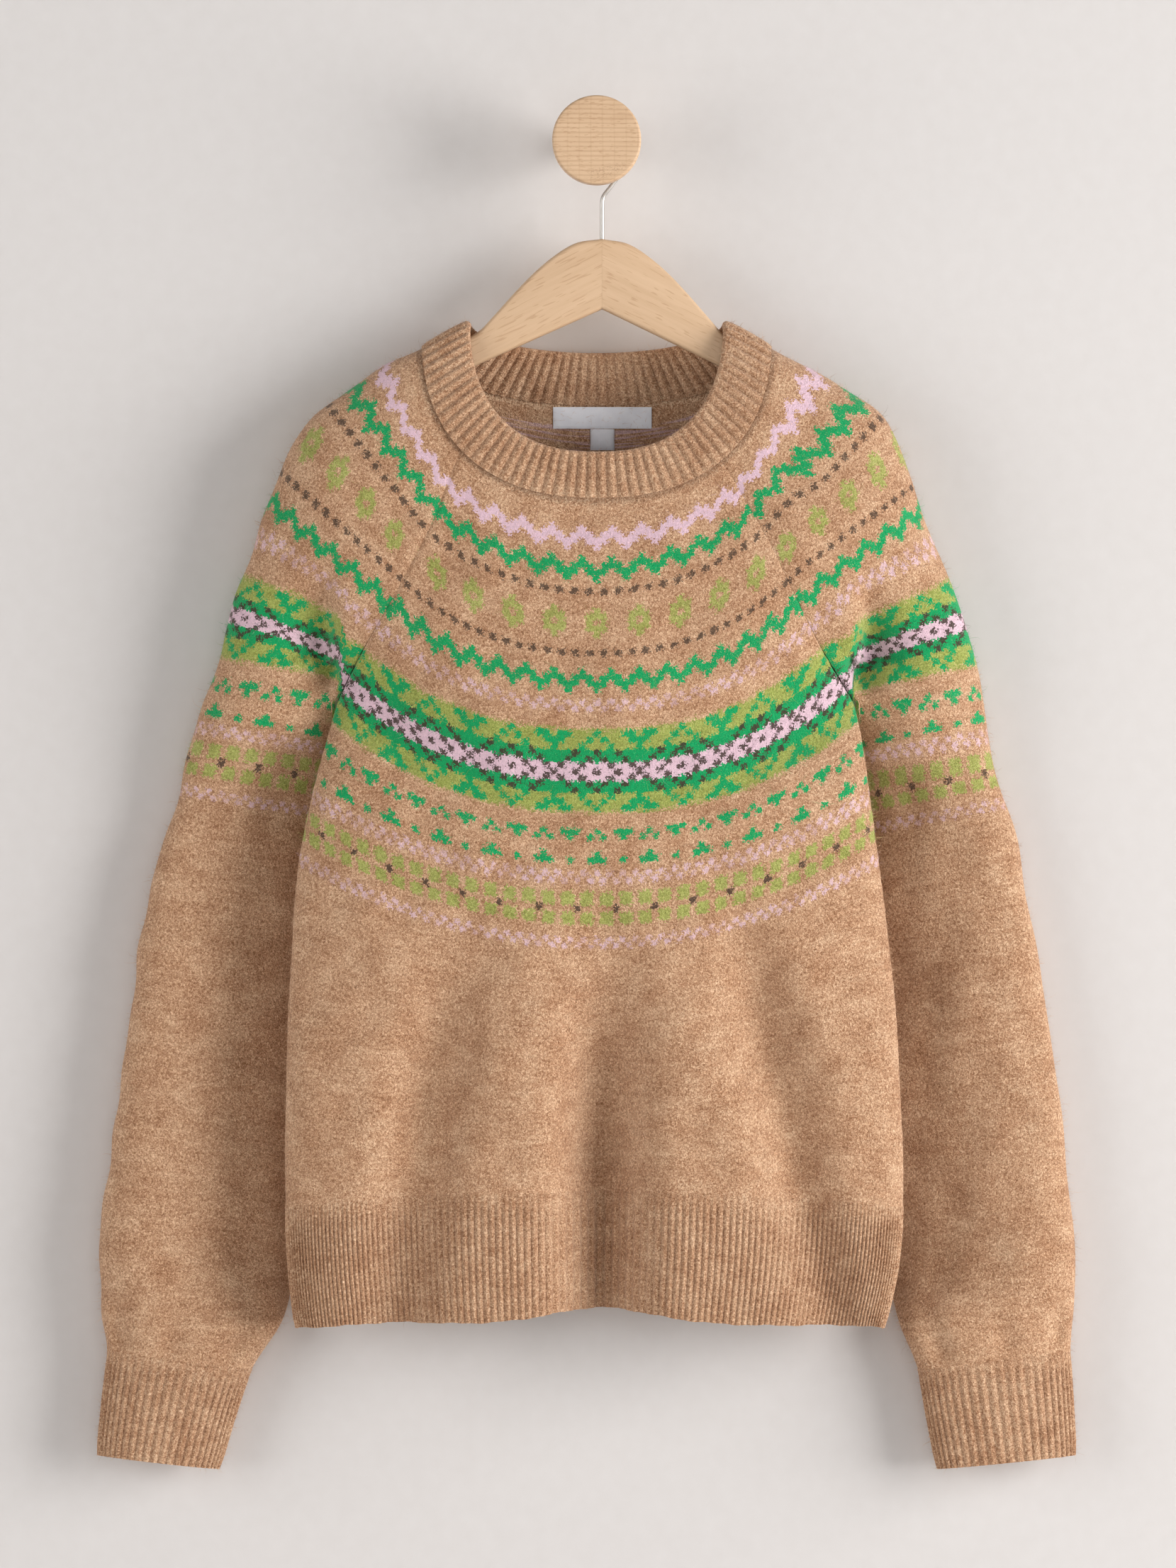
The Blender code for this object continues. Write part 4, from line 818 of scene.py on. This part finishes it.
def sleeve_bands(row, points, around, side):
    """The chart's row at each point of a sleeve: as on the body up to the fold line, then by shares
    from the crease to the shoulder line."""
    name = "left" if side < 0 else "right"
    reach, fall = np.abs(points[..., 0]), -points[..., 2]
    fold = at(FOLD_LINE, name, fall, key="fall")
    outer = at(SLEEVE_OUTER, name, row)
    share = np.clip((outer - reach) / np.maximum(outer - fold, 0.01), 0.0, 1.0)
    bands = SLEEVE_BANDS[side]
    beyond = at(bands, "outer", row) * (1 - share) + at(bands, "crease", row) * share
    # The crease parts the bands sharply, and above it they part over 34 mm
    width = 0.002 + 0.032 * (1 - ease(0.255, 0.310, fall))
    past = ease(fold - width, fold, reach)
    body = (at(BODY_BANDS, "shift", row) + at(BODY_BANDS, "seam", row)) * (1 - ease(45.0, 60.0, row))
    front = body * (1 - past) + beyond * past
    back = at(bands, "outer", row) * (1 - ease(0.0, 0.8, around)) + body * ease(0.0, 0.8, around)
    return row + np.where(around < 0, front, back)


# Where the chart's middle falls round each sleeve, in stitches from the shoulder line
SLEEVE_SHIFT = {-1: 4.0, 1: -5.5}
SLEEVE_COLUMNS, SLEEVE_HAIRS = 104, 32000
SIDES = ((-1, "left"), (1, "right"))
sleeve_rows = np.arange(0.0, CUFF_ROW + 0.5, 1.0)
for side, name in SIDES:
    columns = np.linspace(-1.0, 1.0, SLEEVE_COLUMNS + 1)
    row_grid, around = np.meshgrid(sleeve_rows, columns, indexing="ij")
    points = sleeve_surface(row_grid, around, side)
    first = FRONT_RAGLAN_ANGLE[side]
    angles = side * (first + (BACK_RAGLAN_ANGLE - first) * (around + 1) / 2)
    points = drawn_up(row_grid, points, angles)
    band_row = sleeve_bands(row_grid, points, around, side)
    uv = stitches(band_row, points, SLEEVE_COLUMNS // 2, SLEEVE_SHIFT[side])
    outer, inner, normals = body_wall(points, np.array([side * 1.0, 0.0, 0.3]), 5 + side)
    sleeve = knitted("sleeve_" + name + "_panel", outer, inner, uv, brushed_wool)
    sleeve_hairs = hairs("sleeve_" + name + "_hairs", outer, normals, uv, SLEEVE_HAIRS, 15 + side,
                         brushed_wool)
    for piece in (sleeve, sleeve_hairs):
        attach(piece, "root")
    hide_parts("sleeve_" + name)

# THE WELT
# Deep ribbing at the hem, knitted on below the body in one piece on the front and one on the back,
# and joined at the side seams.

WELT_RIBS, RIB_COLUMNS, WELT_HAIRS = 116, 6, 7000
RIB_RISE, TURNED_IN, RIB_HAIR_LENGTH = 0.0013, 0.0008, 0.0030


def ribs(place, rise=RIB_RISE):
    """How far a ribbed face stands out, with one rib for each whole number of place: a broad rounded
    rib between narrow grooves, rise * (|cos(pi place)| ^ 1.1 - 0.4)."""
    return rise * (np.abs(np.cos(math.pi * place)) ** 1.1 - 0.4)


def ribbed(points, normals, row, first, last, rising, turning):
    """The outer and inner face of ribbing and its stitch numbers, two to a rib. The ribs rise over
    the first rows, as many as rising, and the last ones, as many as turning, turn in a little."""
    across = np.arange(points.shape[1]) / RIB_COLUMNS + 0.5
    begun = ease(first, first + rising, row)
    turned_in = TURNED_IN * ease(last - turning, last, row)
    outer = points + normals * (ribs(across) * begun - turned_in)[..., None]
    inner = points - normals * (KNIT_THICK + ribs(across + 0.5) * begun - turned_in)[..., None]
    return outer, inner, np.stack([np.broadcast_to(across * 2, row.shape), RIBBED + row], axis=-1) / 100


welt_rows = np.linspace(WELT_ROW, HEM_ROW, 13)
for name, raglan, centre, folds, way in (("front", FRONT_RAGLAN, CENTRE_FRONT, FRONT_FOLDS, 1),
                                         ("back", BACK_RAGLAN, CENTRE_BACK, BACK_FOLDS, -1)):
    row_grid, points = body_grid(welt_rows, WELT_RIBS * RIB_COLUMNS, raglan, centre, folds, way)
    normals = normals_of(points, np.array([0.0, way * 1.0, 0.0]))
    for edge, side in ((0, -1.0), (-1, 1.0)):
        normals[:, edge] = np.array([side, 0.0, 0.0])
    # The edge is a little uneven, as a soft edge hangs
    uneven = 0.0003 * np.sin(points[..., 0] * 190.0) + 0.0002 * np.sin(points[..., 0] * 470.0 + 1.0)
    points[..., 2] += uneven * ease(WELT_ROW + 6, HEM_ROW, row_grid)
    outer, inner, uv = ribbed(points, normals, row_grid, WELT_ROW, HEM_ROW, 3.5, 2.5)
    welt = knitted("welt_" + name, outer, inner, uv, brushed_wool)
    welt_hairs = hairs("welt_" + name + "_hairs", outer, normals, uv, WELT_HAIRS, 21 + way,
                       brushed_wool, RIB_HAIR_LENGTH)
    for piece in (welt, welt_hairs):
        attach(piece, "root")
    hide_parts("hem_rib_" + name)

# THE CUFFS
# Ribbed tubes that draw in the full sleeves, knitted on below them.

CUFF_RIBS, CUFF_HAIRS = 48, 5000
for side, name in SIDES:
    count = CUFF_RIBS * RIB_COLUMNS
    columns = 2 * np.arange(count) / count - 1.0
    row_grid, around = np.meshgrid(np.linspace(CUFF_ROW, CUFF_END_ROW, 15), columns, indexing="ij")
    points = sleeve_surface(row_grid, around, side)
    wrapped = np.concatenate([points[:, -1:], points, points[:, :1]], axis=1)
    normals = normals_of(wrapped, wrapped - wrapped.mean(axis=1, keepdims=True))[:, 1:-1]
    outer, inner, uv = ribbed(points, normals, row_grid, CUFF_ROW, CUFF_END_ROW, 3.0, 2.0)
    cuff = knitted("cuff_" + name + "_rib", outer, inner, uv, brushed_wool, closed=True)
    cuff_hairs = hairs("cuff_" + name + "_hairs", outer, normals, uv, CUFF_HAIRS, 25 + side,
                       brushed_wool, RIB_HAIR_LENGTH, closed=True)
    for piece in (cuff, cuff_hairs):
        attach(piece, "root")
    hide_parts("cuff_" + name)

# THE NECKBAND
# A doubled rib band, picked up round the neck, folded over at its upper edge and linked down inside.

NECK_RIBS, NECK_RIB_COLUMNS, NECK_RIB_RISE = 88, 8, 0.0017
NECKBAND_THICK, NECKBAND_LIFT, NECKBAND_ROW = 0.0046, 0.0009, 180.0
# The faces go straight up to this share of the height, and bow out a little, outside and inside
STRAIGHT_SHARE, OUTSIDE_BOW, INSIDE_BOW = 0.92, 0.0005, 0.0003
# The ribs' share of their rise at the foot, at the folded edge and over the fold
RIB_AT_FOOT, RIB_AT_EDGE, RIB_OVER_FOLD = 0.4, 0.65, 0.65
fine = np.linspace(-math.pi, math.pi, 2881)
halfway = (neck_ring(fine, 0) + neck_ring(fine, 1)) / 2
length = np.concatenate([[0.0], np.cumsum(np.linalg.norm(np.diff(halfway, axis=0), axis=1))])
count = NECK_RIBS * NECK_RIB_COLUMNS
angle = np.interp(np.arange(count) / count * length[-1], length, fine)
foot, edge = neck_ring(angle, 0), neck_ring(angle, 1)
rise = unit(edge - foot)
tangent = unit(np.roll(foot + edge, -1, axis=0) - np.roll(foot + edge, 1, axis=0))
out = unit(np.cross(tangent, rise))
if (out * (foot - foot.mean(axis=0)) * np.array([1.0, 1.0, 0.0])).sum() < 0:
    out = -out
tall = np.linalg.norm(edge - foot, axis=1)[:, None]
# The section: up the outside, round the fold and down the inside
up = np.linspace(0.0, 1.0, 11)
fold = np.linspace(0.0, math.pi, 9)[1:-1]
half = NECKBAND_THICK / 2
straight = STRAIGHT_SHARE * up
share = np.concatenate([straight, STRAIGHT_SHARE + (1 - STRAIGHT_SHARE) * np.sin(fold), straight[::-1]])
bow = np.sin(math.pi * up)
off = np.concatenate([half + OUTSIDE_BOW * bow, half * np.cos(fold), -half - INSIDE_BOW * bow])
one_face = ((RIB_AT_FOOT + (1 - RIB_AT_FOOT) * ease(0.0, 0.12, up))
            * (1 - (1 - RIB_AT_EDGE) * ease(0.85, 1.0, up)))
face = np.concatenate([one_face, RIB_OVER_FOLD * np.cos(fold), -one_face[::-1]])
rib = ribs(np.arange(count) / NECK_RIB_COLUMNS + 0.5, NECK_RIB_RISE)[:, None]
band = (foot[:, None] + rise[:, None] * (share * tall)[..., None]
        + out[:, None] * (off - half + NECKBAND_LIFT + rib * face)[..., None])
number = np.arange(band.shape[0] * band.shape[1]).reshape(band.shape[:2])
faces = cells(np.pad(number, ((0, 1), (0, 1)), mode="wrap"))
climbed = np.append(np.cumsum(np.abs(np.diff(share, prepend=0.0))), 1.9) * 11
stitch_across, stitch_up = np.meshgrid(np.arange(count + 1) / 4 + 1, NECKBAND_ROW + climbed, indexing="ij")
corner_uv = cells(np.stack([stitch_across, stitch_up], axis=-1) / 100)
points = band.reshape(-1, 3) * TO_SCENE
if looks_in(points, faces):
    faces, corner_uv = faces[:, ::-1], corner_uv[:, ::-1]
neckband = mesh_piece("neckband_rib", points, faces, brushed_wool, corner_uv)
stitch_across, stitch_up = np.meshgrid(np.arange(count) / 4 + 1, NECKBAND_ROW + share * 10, indexing="ij")
neck_uv = np.stack([stitch_across, stitch_up], axis=-1) / 100
out_all = np.broadcast_to(out[:, None], band.shape)
neckband_hairs = [
    hairs("neckband_hairs_" + name, band[:, part], way * out_all[:, part], neck_uv[:, part], strands,
          seed, brushed_wool, RIB_HAIR_LENGTH)
    for name, part, way, strands, seed in (("outside", slice(0, 14), 1.0, 9000, 31),
                                           ("inside", slice(16, 29), -1.0, 5000, 32))]
for piece in (neckband, *neckband_hairs):
    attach(piece, "root")
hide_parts("neckband")

# THE LABEL AND THE SIZE TAB
# A ribbon of white woven satin, sewn by its ends inside the back neck, and a narrower tab hung under
# it. Both are bare.

LABEL_X, LABEL_SIZE, TAB_SIZE = 0.0037, (0.063, 0.0138), (0.0155, 0.0135)
RIBBON_GAP, RIBBON_THICK, TURNED_EDGE = 0.0003, 0.0002, 0.00025
woven_satin, start, where = new_material("woven_satin")
threads, weft = where.bands("X", 700.0, 0.4), where.bands("Z", 520.0, 0.4)
soft = where.noise(160.0, 2.0) * 0.7 + threads * 0.3
white = soft.ramp((0.3, colour(0.90, 0.905, 0.935)), (0.7, colour(0.95, 0.955, 0.975)))
surface(start, Base_Color=white, Roughness=threads * 0.1 + 0.42, Sheen_Weight=0.15,
        Normal=(threads * 0.5 + weft * 0.5).bump(0.15, 0.0001))


def ribbon(name, width, height, z_top, lift):
    """A thin woven strip over the inside of the back panel: flat, with its long edges turned back and
    a slight bow out from the cloth."""
    x, z = np.meshgrid(LABEL_X + width * np.linspace(-0.5, 0.5, 41),
                       z_top - height * np.linspace(0.0, 1.0, 13))
    cloth_x, cloth_depth, cloth_z = back_in[seen_rows].reshape(-1, 3, 1, 1).transpose(1, 0, 2, 3)
    nearest = ((cloth_x - x) ** 2 + (cloth_z - z) ** 2).argmin(axis=0)
    depth = cloth_depth.ravel()[nearest]
    s, t = (x - LABEL_X) / width * 2, (z_top - z) / height * 2 - 1
    bow = lift * (1 - s ** 4) * (1 - 0.5 * t ** 2)
    edge = TURNED_EDGE * (1 - np.abs(t) ** 12) * (1 - np.abs(s) ** 30)
    back_depth = depth + RIBBON_GAP + bow
    front_face = np.stack([x, back_depth + RIBBON_THICK + edge, z], axis=-1)
    back_face = np.stack([x, back_depth, z], axis=-1)
    return knitted(name, front_face, back_face, np.stack([x, z], axis=-1), woven_satin)


label_top = neck_ring(np.array([math.pi]), 0)[0, 2] - 0.0012
label = ribbon("neck_ribbon", *LABEL_SIZE, label_top, 0.0008)
tab = ribbon("size_ribbon", *TAB_SIZE, label_top - LABEL_SIZE[1] - LINK_GAP, 0.0012)
for piece, node in ((label, "neck_label"), (tab, "size_tab")):
    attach(piece, "root")
    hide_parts(node)

# THE HANGER
# Two arms of pale beech, glued in a mitre in the middle and sanded round, waxed, not lacquered.

HANGER_X = 0.0035
HANGER_THICK, HANGER_ROUND, HANGER_END, HANGER_TALLEST = 0.012, 0.003, 0.178, 0.052
HANGER_TILT = math.tan(math.radians(1.1))
NOTCH_Z, NOTCH_SLOPE = -0.1063, 0.465
# The arms round off over their last stretch, by this share of their height squared
END_ROUND, END_SHARE = 0.016, 0.8
HANGER_TOP = measured(
    "x z",
    (0.0000, -0.0615),
    (0.0180, -0.0650),
    (0.0320, -0.0740),
    (0.0435, -0.0840),
    (0.0550, -0.0960),
    (0.0685, -0.1112),
    (0.0780, -0.1214),
    (0.0840, -0.1252),
    (0.0920, -0.1302),
    (0.1000, -0.1351),
    (0.1060, -0.1400),
    (0.1120, -0.1434),
    (0.1200, -0.1472),
    (0.1300, -0.1495),
    (0.1420, -0.1543),
    (0.1540, -0.1609),
    (0.1660, -0.1700),
    (0.1720, -0.1757),
    (0.1760, -0.1806),
    (0.1780, -0.1840),
)


def wood_grain(place, long, fine):
    """Beech, its colour and its streaks: long soft streaks and short dark flecks along the first axis
    of place, stretched 1 / long times, with fine streaks to a metre."""
    streaks = place.noise(fine, 3.0, (long, 1.0, 1.0), Distortion=0.3)
    bands = place.noise(fine * 0.22, 2.0, (long * 0.6, 1.0, 1.0))
    flecks = place.noise(fine * 2.4, 0.0, (long * 2.0, 1.0, 1.0)).step(0.66, 0.74)
    wood = (streaks * 0.5 + bands * 0.5).ramp((0.25, colour(0.755, 0.625, 0.49)),
                                              (0.50, colour(0.795, 0.67, 0.537)),
                                              (0.75, colour(0.825, 0.705, 0.575)))
    return wood.mixed(colour(0.66, 0.51, 0.37), flecks * 0.42), streaks


beech, start, where = new_material("waxed_beech")
sideways, depth_at, height_at = where.vector("SUBTRACT", (HANGER_X, 0.0, -0.085)).parts()
reach = abs(sideways)
# Along, through and across each arm, which falls at 27 degrees; the two arms are cut from different wood
arm = start.node("CombineXYZ", None, {0: reach * 0.89 - height_at * 0.45,
                                      1: depth_at + sideways.over(0.0) * 0.3,
                                      2: reach * 0.45 + height_at * 0.89})
wood, streaks = wood_grain(arm, 0.05, 420.0)
joint = reach.step(0.0007, 0.0002)
wood = wood.mixed(colour(0.60, 0.46, 0.34), joint * 0.10)
surface(start, Base_Color=wood, Roughness=streaks * 0.15 + 0.42,
        Normal=(streaks - joint * 0.1).bump(0.25, 0.0004))

offset = np.concatenate([-np.linspace(HANGER_END, 0.0, 91), np.linspace(0.0, HANGER_END, 91)[1:]])
reach = np.abs(offset)
top = at(HANGER_TOP, "z", reach, key="x")
low = np.maximum(NOTCH_Z - NOTCH_SLOPE * reach, top - HANGER_TALLEST)
rounding = ease(HANGER_END - END_ROUND, HANGER_END + 0.001, reach)
low = top - (top - low) * np.sqrt(1 - rounding * END_SHARE)
half_tall, half_thick = (top - low) / 2, HANGER_THICK / 2
corner = np.minimum(HANGER_ROUND, half_tall * 0.8)[:, None]
turn = (np.arange(4)[:, None] * 0.5 + np.linspace(0.0, 0.5, 6)).ravel() * math.pi
sign_z, sign_y = (np.repeat(signs, 6) for signs in ((1, 1, -1, -1), (1, -1, -1, 1)))
middle_z = ((top + low) / 2 - HANGER_TILT * offset)[:, None]
section = np.stack([
    np.broadcast_to(HANGER_X + offset[:, None], (len(offset), len(turn))),
    HANG_DEPTH + sign_y * (half_thick - corner) + corner * np.cos(turn),
    middle_z + sign_z * (half_tall[:, None] - corner) + corner * np.sin(turn),
], axis=-1)


def swept(name, section, material):
    """A closed skin over a row of closed sections, each end shrunk to a point in its middle."""
    rows, columns = section.shape[:2]
    first, last = section[:1].mean(axis=1), section[-1:].mean(axis=1)
    points = np.concatenate([first, section.reshape(-1, 3), last]) * TO_SCENE
    number = 1 + np.pad(np.arange(rows * columns).reshape(rows, columns), ((0, 0), (0, 1)), mode="wrap")
    quads = cells(number)
    caps = np.concatenate([
        np.stack([np.zeros(columns, int), number[0, 1:], number[0, :-1]], axis=-1),
        np.stack([np.full(columns, len(points) - 1), number[-1, :-1], number[-1, 1:]], axis=-1)])
    if looks_in(points, quads):
        quads, caps = quads[:, ::-1], caps[:, ::-1]
    mesh = bpy.data.meshes.new(name)
    mesh.from_pydata(points.tolist(), [], quads.tolist() + caps.tolist())
    mesh.shade_smooth()
    return linked(name, mesh, material)


hanger = swept("hanger_beech", section, beech)
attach(hanger, "root")
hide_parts("hanger_wood")

# THE HOOK
# Bright steel wire, bent to a round hook and set into the top of the hanger.

WIRE_RADIUS, STEM_RADIUS, LOOP_RADIUS = 0.0014, 0.007, 0.0185
SHANK_BEND_Z, SHANK_IN_WOOD = -0.0335, 0.016
LOOP_START, LOOP_END = math.radians(-50.0), math.radians(205.0)
steel, start, where = new_material("hook_steel")
drawn = where.noise(900.0, 2.0, (1.0, 1.0, 0.25))
grey = drawn.ramp((0.3, colour(0.68, 0.665, 0.645)), (0.7, colour(0.77, 0.755, 0.735)))
surface(start, Base_Color=grey, Metallic=0.7, Roughness=drawn * 0.25 + 0.22)
turn = np.linspace(LOOP_START, LOOP_END, 26)
loop_z = STEM_RADIUS + LINK_GAP + WIRE_RADIUS - LOOP_RADIUS
loop = np.stack([LOOP_RADIUS * np.cos(turn), loop_z + LOOP_RADIUS * np.sin(turn)], axis=-1)
foot_path = np.array([
    (HANGER_X, HANGER_TOP["z"][0] - SHANK_IN_WOOD), (HANGER_X, -0.060), (HANGER_X, -0.045),
    (HANGER_X, SHANK_BEND_Z - 0.0035), (HANGER_X + 0.0004, SHANK_BEND_Z - 0.0015),
    (HANGER_X + 0.0015, SHANK_BEND_Z + 0.0005), (HANGER_X + 0.0032, SHANK_BEND_Z + 0.0025)])
meet = (foot_path[-1:] + loop[:1]) / 2 - np.array([[0.0, 0.0003]])
path = np.concatenate([foot_path, meet, loop])
walked = np.concatenate([[0.0], np.cumsum(np.linalg.norm(np.diff(path, axis=0), axis=1))])
# Rounds the corners of the measured path: dense steps, each the mean of its neighbours over 3 mm
steps = np.linspace(0.0, walked[-1], 261)
path = np.stack([np.interp(steps, walked, path[:, k]) for k in (0, 1)], axis=-1)
for _ in range(14):
    path[1:-1] = (path[:-2] + 2 * path[1:-1] + path[2:]) / 4
along = unit(np.gradient(path, axis=0))
turn = 2 * math.pi * np.arange(16) / 16
radius = np.full((len(path), 1), WIRE_RADIUS)
# The free end is rounded off
radius[-5:, 0] *= np.array([1.0, 0.97, 0.88, 0.7, 0.4])
section = np.stack([path[:, :1] - along[:, 1:] * radius * np.cos(turn), HANG_DEPTH + radius * np.sin(turn),
                    path[:, 1:] + along[:, :1] * radius * np.cos(turn)], axis=-1)
hook = swept("hook_wire", section, steel)
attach(hook, "root")
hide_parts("hook")

# THE WALL PEG
# Turned from one piece of beech and left bare: a stem out of the wall with a flat round knob, whose
# year rings run across its face.

KNOB_RADIUS, KNOB_BACK, KNOB_FRONT, KNOB_ROUND = 0.02825, 0.056, 0.077, 0.0016
STEM_FILLET, AXIS_RADIUS = 0.0008, 0.0001
LATE_WOOD, CHIPPED_WOOD = colour(0.62, 0.47, 0.33), colour(0.50, 0.36, 0.24)
bare_beech, start, where = new_material("bare_beech")
wood, streaks = wood_grain(where, 0.10, 620.0)
# Year rings across the face, a few fine upright checks and a chipped place low on the right
rings = where.bands("Z", 105.0, 1.6, Detail=1.0, Detail_Scale=0.35)
checked = where.bands("X", 42.0, 0.6, Detail_Scale=0.5)
sideways, _, height_at = where.parts()
low_right = (abs(sideways - 0.006).step(0.016, 0.008)
             * abs(height_at + 0.0215 - sideways * 0.2).step(0.0055, 0.0020))
chipped = low_right * where.noise(1500.0, 1.0, (0.7, 1.0, 1.4)).step(0.54, 0.64)
wood = wood.mixed(LATE_WOOD, rings.step(0.55, 0.95) * 0.30)
wood = wood.mixed(LATE_WOOD, checked.step(0.93, 0.99) * 0.12)
wood = wood.mixed(CHIPPED_WOOD, chipped * 0.30)
surface(start, Base_Color=wood, Roughness=streaks * 0.15 + 0.5,
        Normal=(streaks - rings * 0.3 - chipped).bump(0.3, 0.0003))
# Half of the peg's section, as (radius, depth), from its axis at the wall to its axis in front; both
# edges of the knob are quarters of a circle
quarter = np.linspace(0.0, math.pi / 2, 7)
rise, run = KNOB_ROUND * (1 - np.cos(quarter)), KNOB_ROUND * (1 - np.sin(quarter))
profile = np.concatenate([
    [(AXIS_RADIUS, 0.0), (STEM_RADIUS, 0.0), (STEM_RADIUS, 0.02), (STEM_RADIUS, KNOB_BACK - STEM_FILLET),
     (STEM_RADIUS + STEM_FILLET, KNOB_BACK), (KNOB_RADIUS * 0.6, KNOB_BACK)],
    np.stack([KNOB_RADIUS - run, KNOB_BACK + rise], axis=-1),
    np.stack([KNOB_RADIUS - rise, KNOB_FRONT - run], axis=-1),
    [(KNOB_RADIUS * 0.8, KNOB_FRONT), (KNOB_RADIUS * 0.4, KNOB_FRONT), (AXIS_RADIUS, KNOB_FRONT)]])
turn = 2 * math.pi * np.arange(96) / 96
section = np.stack([profile[:, :1] * np.cos(turn), np.broadcast_to(profile[:, 1:], (len(profile), 96)),
                    profile[:, :1] * np.sin(turn)], axis=-1)
peg = swept("turned_peg", section, bare_beech)
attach(peg, "root")
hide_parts("wall_peg")

# THE ROOM
# A plain painted wall, which is clear from behind, and a pale floor; a broad window light from the
# right, weaker ones from the left, in front and behind, an even sky and a camera square to the wall.

ROOM_HALF_WIDTH, ROOM_LONG, FLOOR_Z, CEILING_Z = 2.5, 4.0, -1.5, 2.0
DAYLIGHT, SKY = (1.0, 0.985, 0.975), 0.14
LIT_PLACE = (0.0, 0.0, -0.4)
CAMERA_AWAY, CAMERA_X, CAMERA_Z = 7.0, -0.0055, -0.409


def plain(name, corners, paint):
    """One flat face of the room."""
    mesh = bpy.data.meshes.new(name)
    mesh.from_pydata(corners, [], [(0, 1, 2, 3)])
    item = linked(name, mesh, paint)
    return item


paint, start, where = new_material("wall_paint")
rough = where.noise(90.0, 3.0)
chalk = rough.ramp((0.3, colour(0.808, 0.795, 0.787)), (0.7, colour(0.816, 0.804, 0.797)))
matt = start.node("BsdfPrincipled", None, {"Base Color": chalk, "Roughness": 0.95,
                                          "Specular IOR Level": 0.1, "Normal": rough.bump(0.12, 0.001)})
behind = start.node("NewGeometry", output="Backfacing")
seen = start.node("MixShader", None, {0: behind, 1: matt, 2: start.node("BsdfTransparent")})
start.node("OutputMaterial", None, {"Surface": seen})
left, right = -ROOM_HALF_WIDTH, ROOM_HALF_WIDTH
wall = plain("room_wall", [(left, 0.0, FLOOR_Z), (right, 0.0, FLOOR_Z),
                           (right, 0.0, CEILING_Z), (left, 0.0, CEILING_Z)], paint)
wall.visible_shadow = False
plain("room_floor", [(left, 0.0, FLOOR_Z), (left, -ROOM_LONG, FLOOR_Z),
                     (right, -ROOM_LONG, FLOOR_Z), (right, 0.0, FLOOR_Z)], paint)

world = bpy.data.worlds.new("room_light")
bpy.context.scene.world = world
world.use_nodes = True
sky = world.node_tree.nodes["Background"].inputs
sky["Color"].default_value, sky["Strength"].default_value = (*DAYLIGHT, 1.0), SKY

# Each lamp's place, the diameter of its disc in metres and its power in watts
for name, place, size, power in (("window", (3.58, -1.80, -0.05), 2.9, 222.0),
                                 ("bounce", (-3.05, -1.95, -0.15), 2.8, 64.0),
                                 ("front", (0.3, -4.4, -0.1), 2.2, 27.0),
                                 ("behind", (0.0, 2.5, 0.3), 2.0, 34.0)):
    lamp = bpy.data.lights.new(name, "AREA")
    lamp.shape, lamp.size, lamp.energy, lamp.color = "DISK", size, power, DAYLIGHT
    item = bpy.data.objects.new(name, lamp)
    x, y, z = np.array(LIT_PLACE) - np.array(place)
    item.location = place
    item.rotation_euler = (math.atan2(math.hypot(x, y), -z), 0.0, math.atan2(y, x) - math.pi / 2)
    bpy.context.scene.collection.objects.link(item)

lens = bpy.data.cameras.new("camera")
lens.sensor_fit, lens.sensor_height, lens.lens = "VERTICAL", 36.0, 252.0
lens.clip_end = 60.0
camera = bpy.data.objects.new("camera", lens)
camera.location = (CAMERA_X, -HANG_DEPTH - CAMERA_AWAY, CAMERA_Z)
camera.rotation_euler = (math.pi / 2, 0.0, 0.0)
bpy.context.scene.collection.objects.link(camera)
bpy.context.scene.camera = camera
bpy.context.scene.view_settings.view_transform = "Standard"
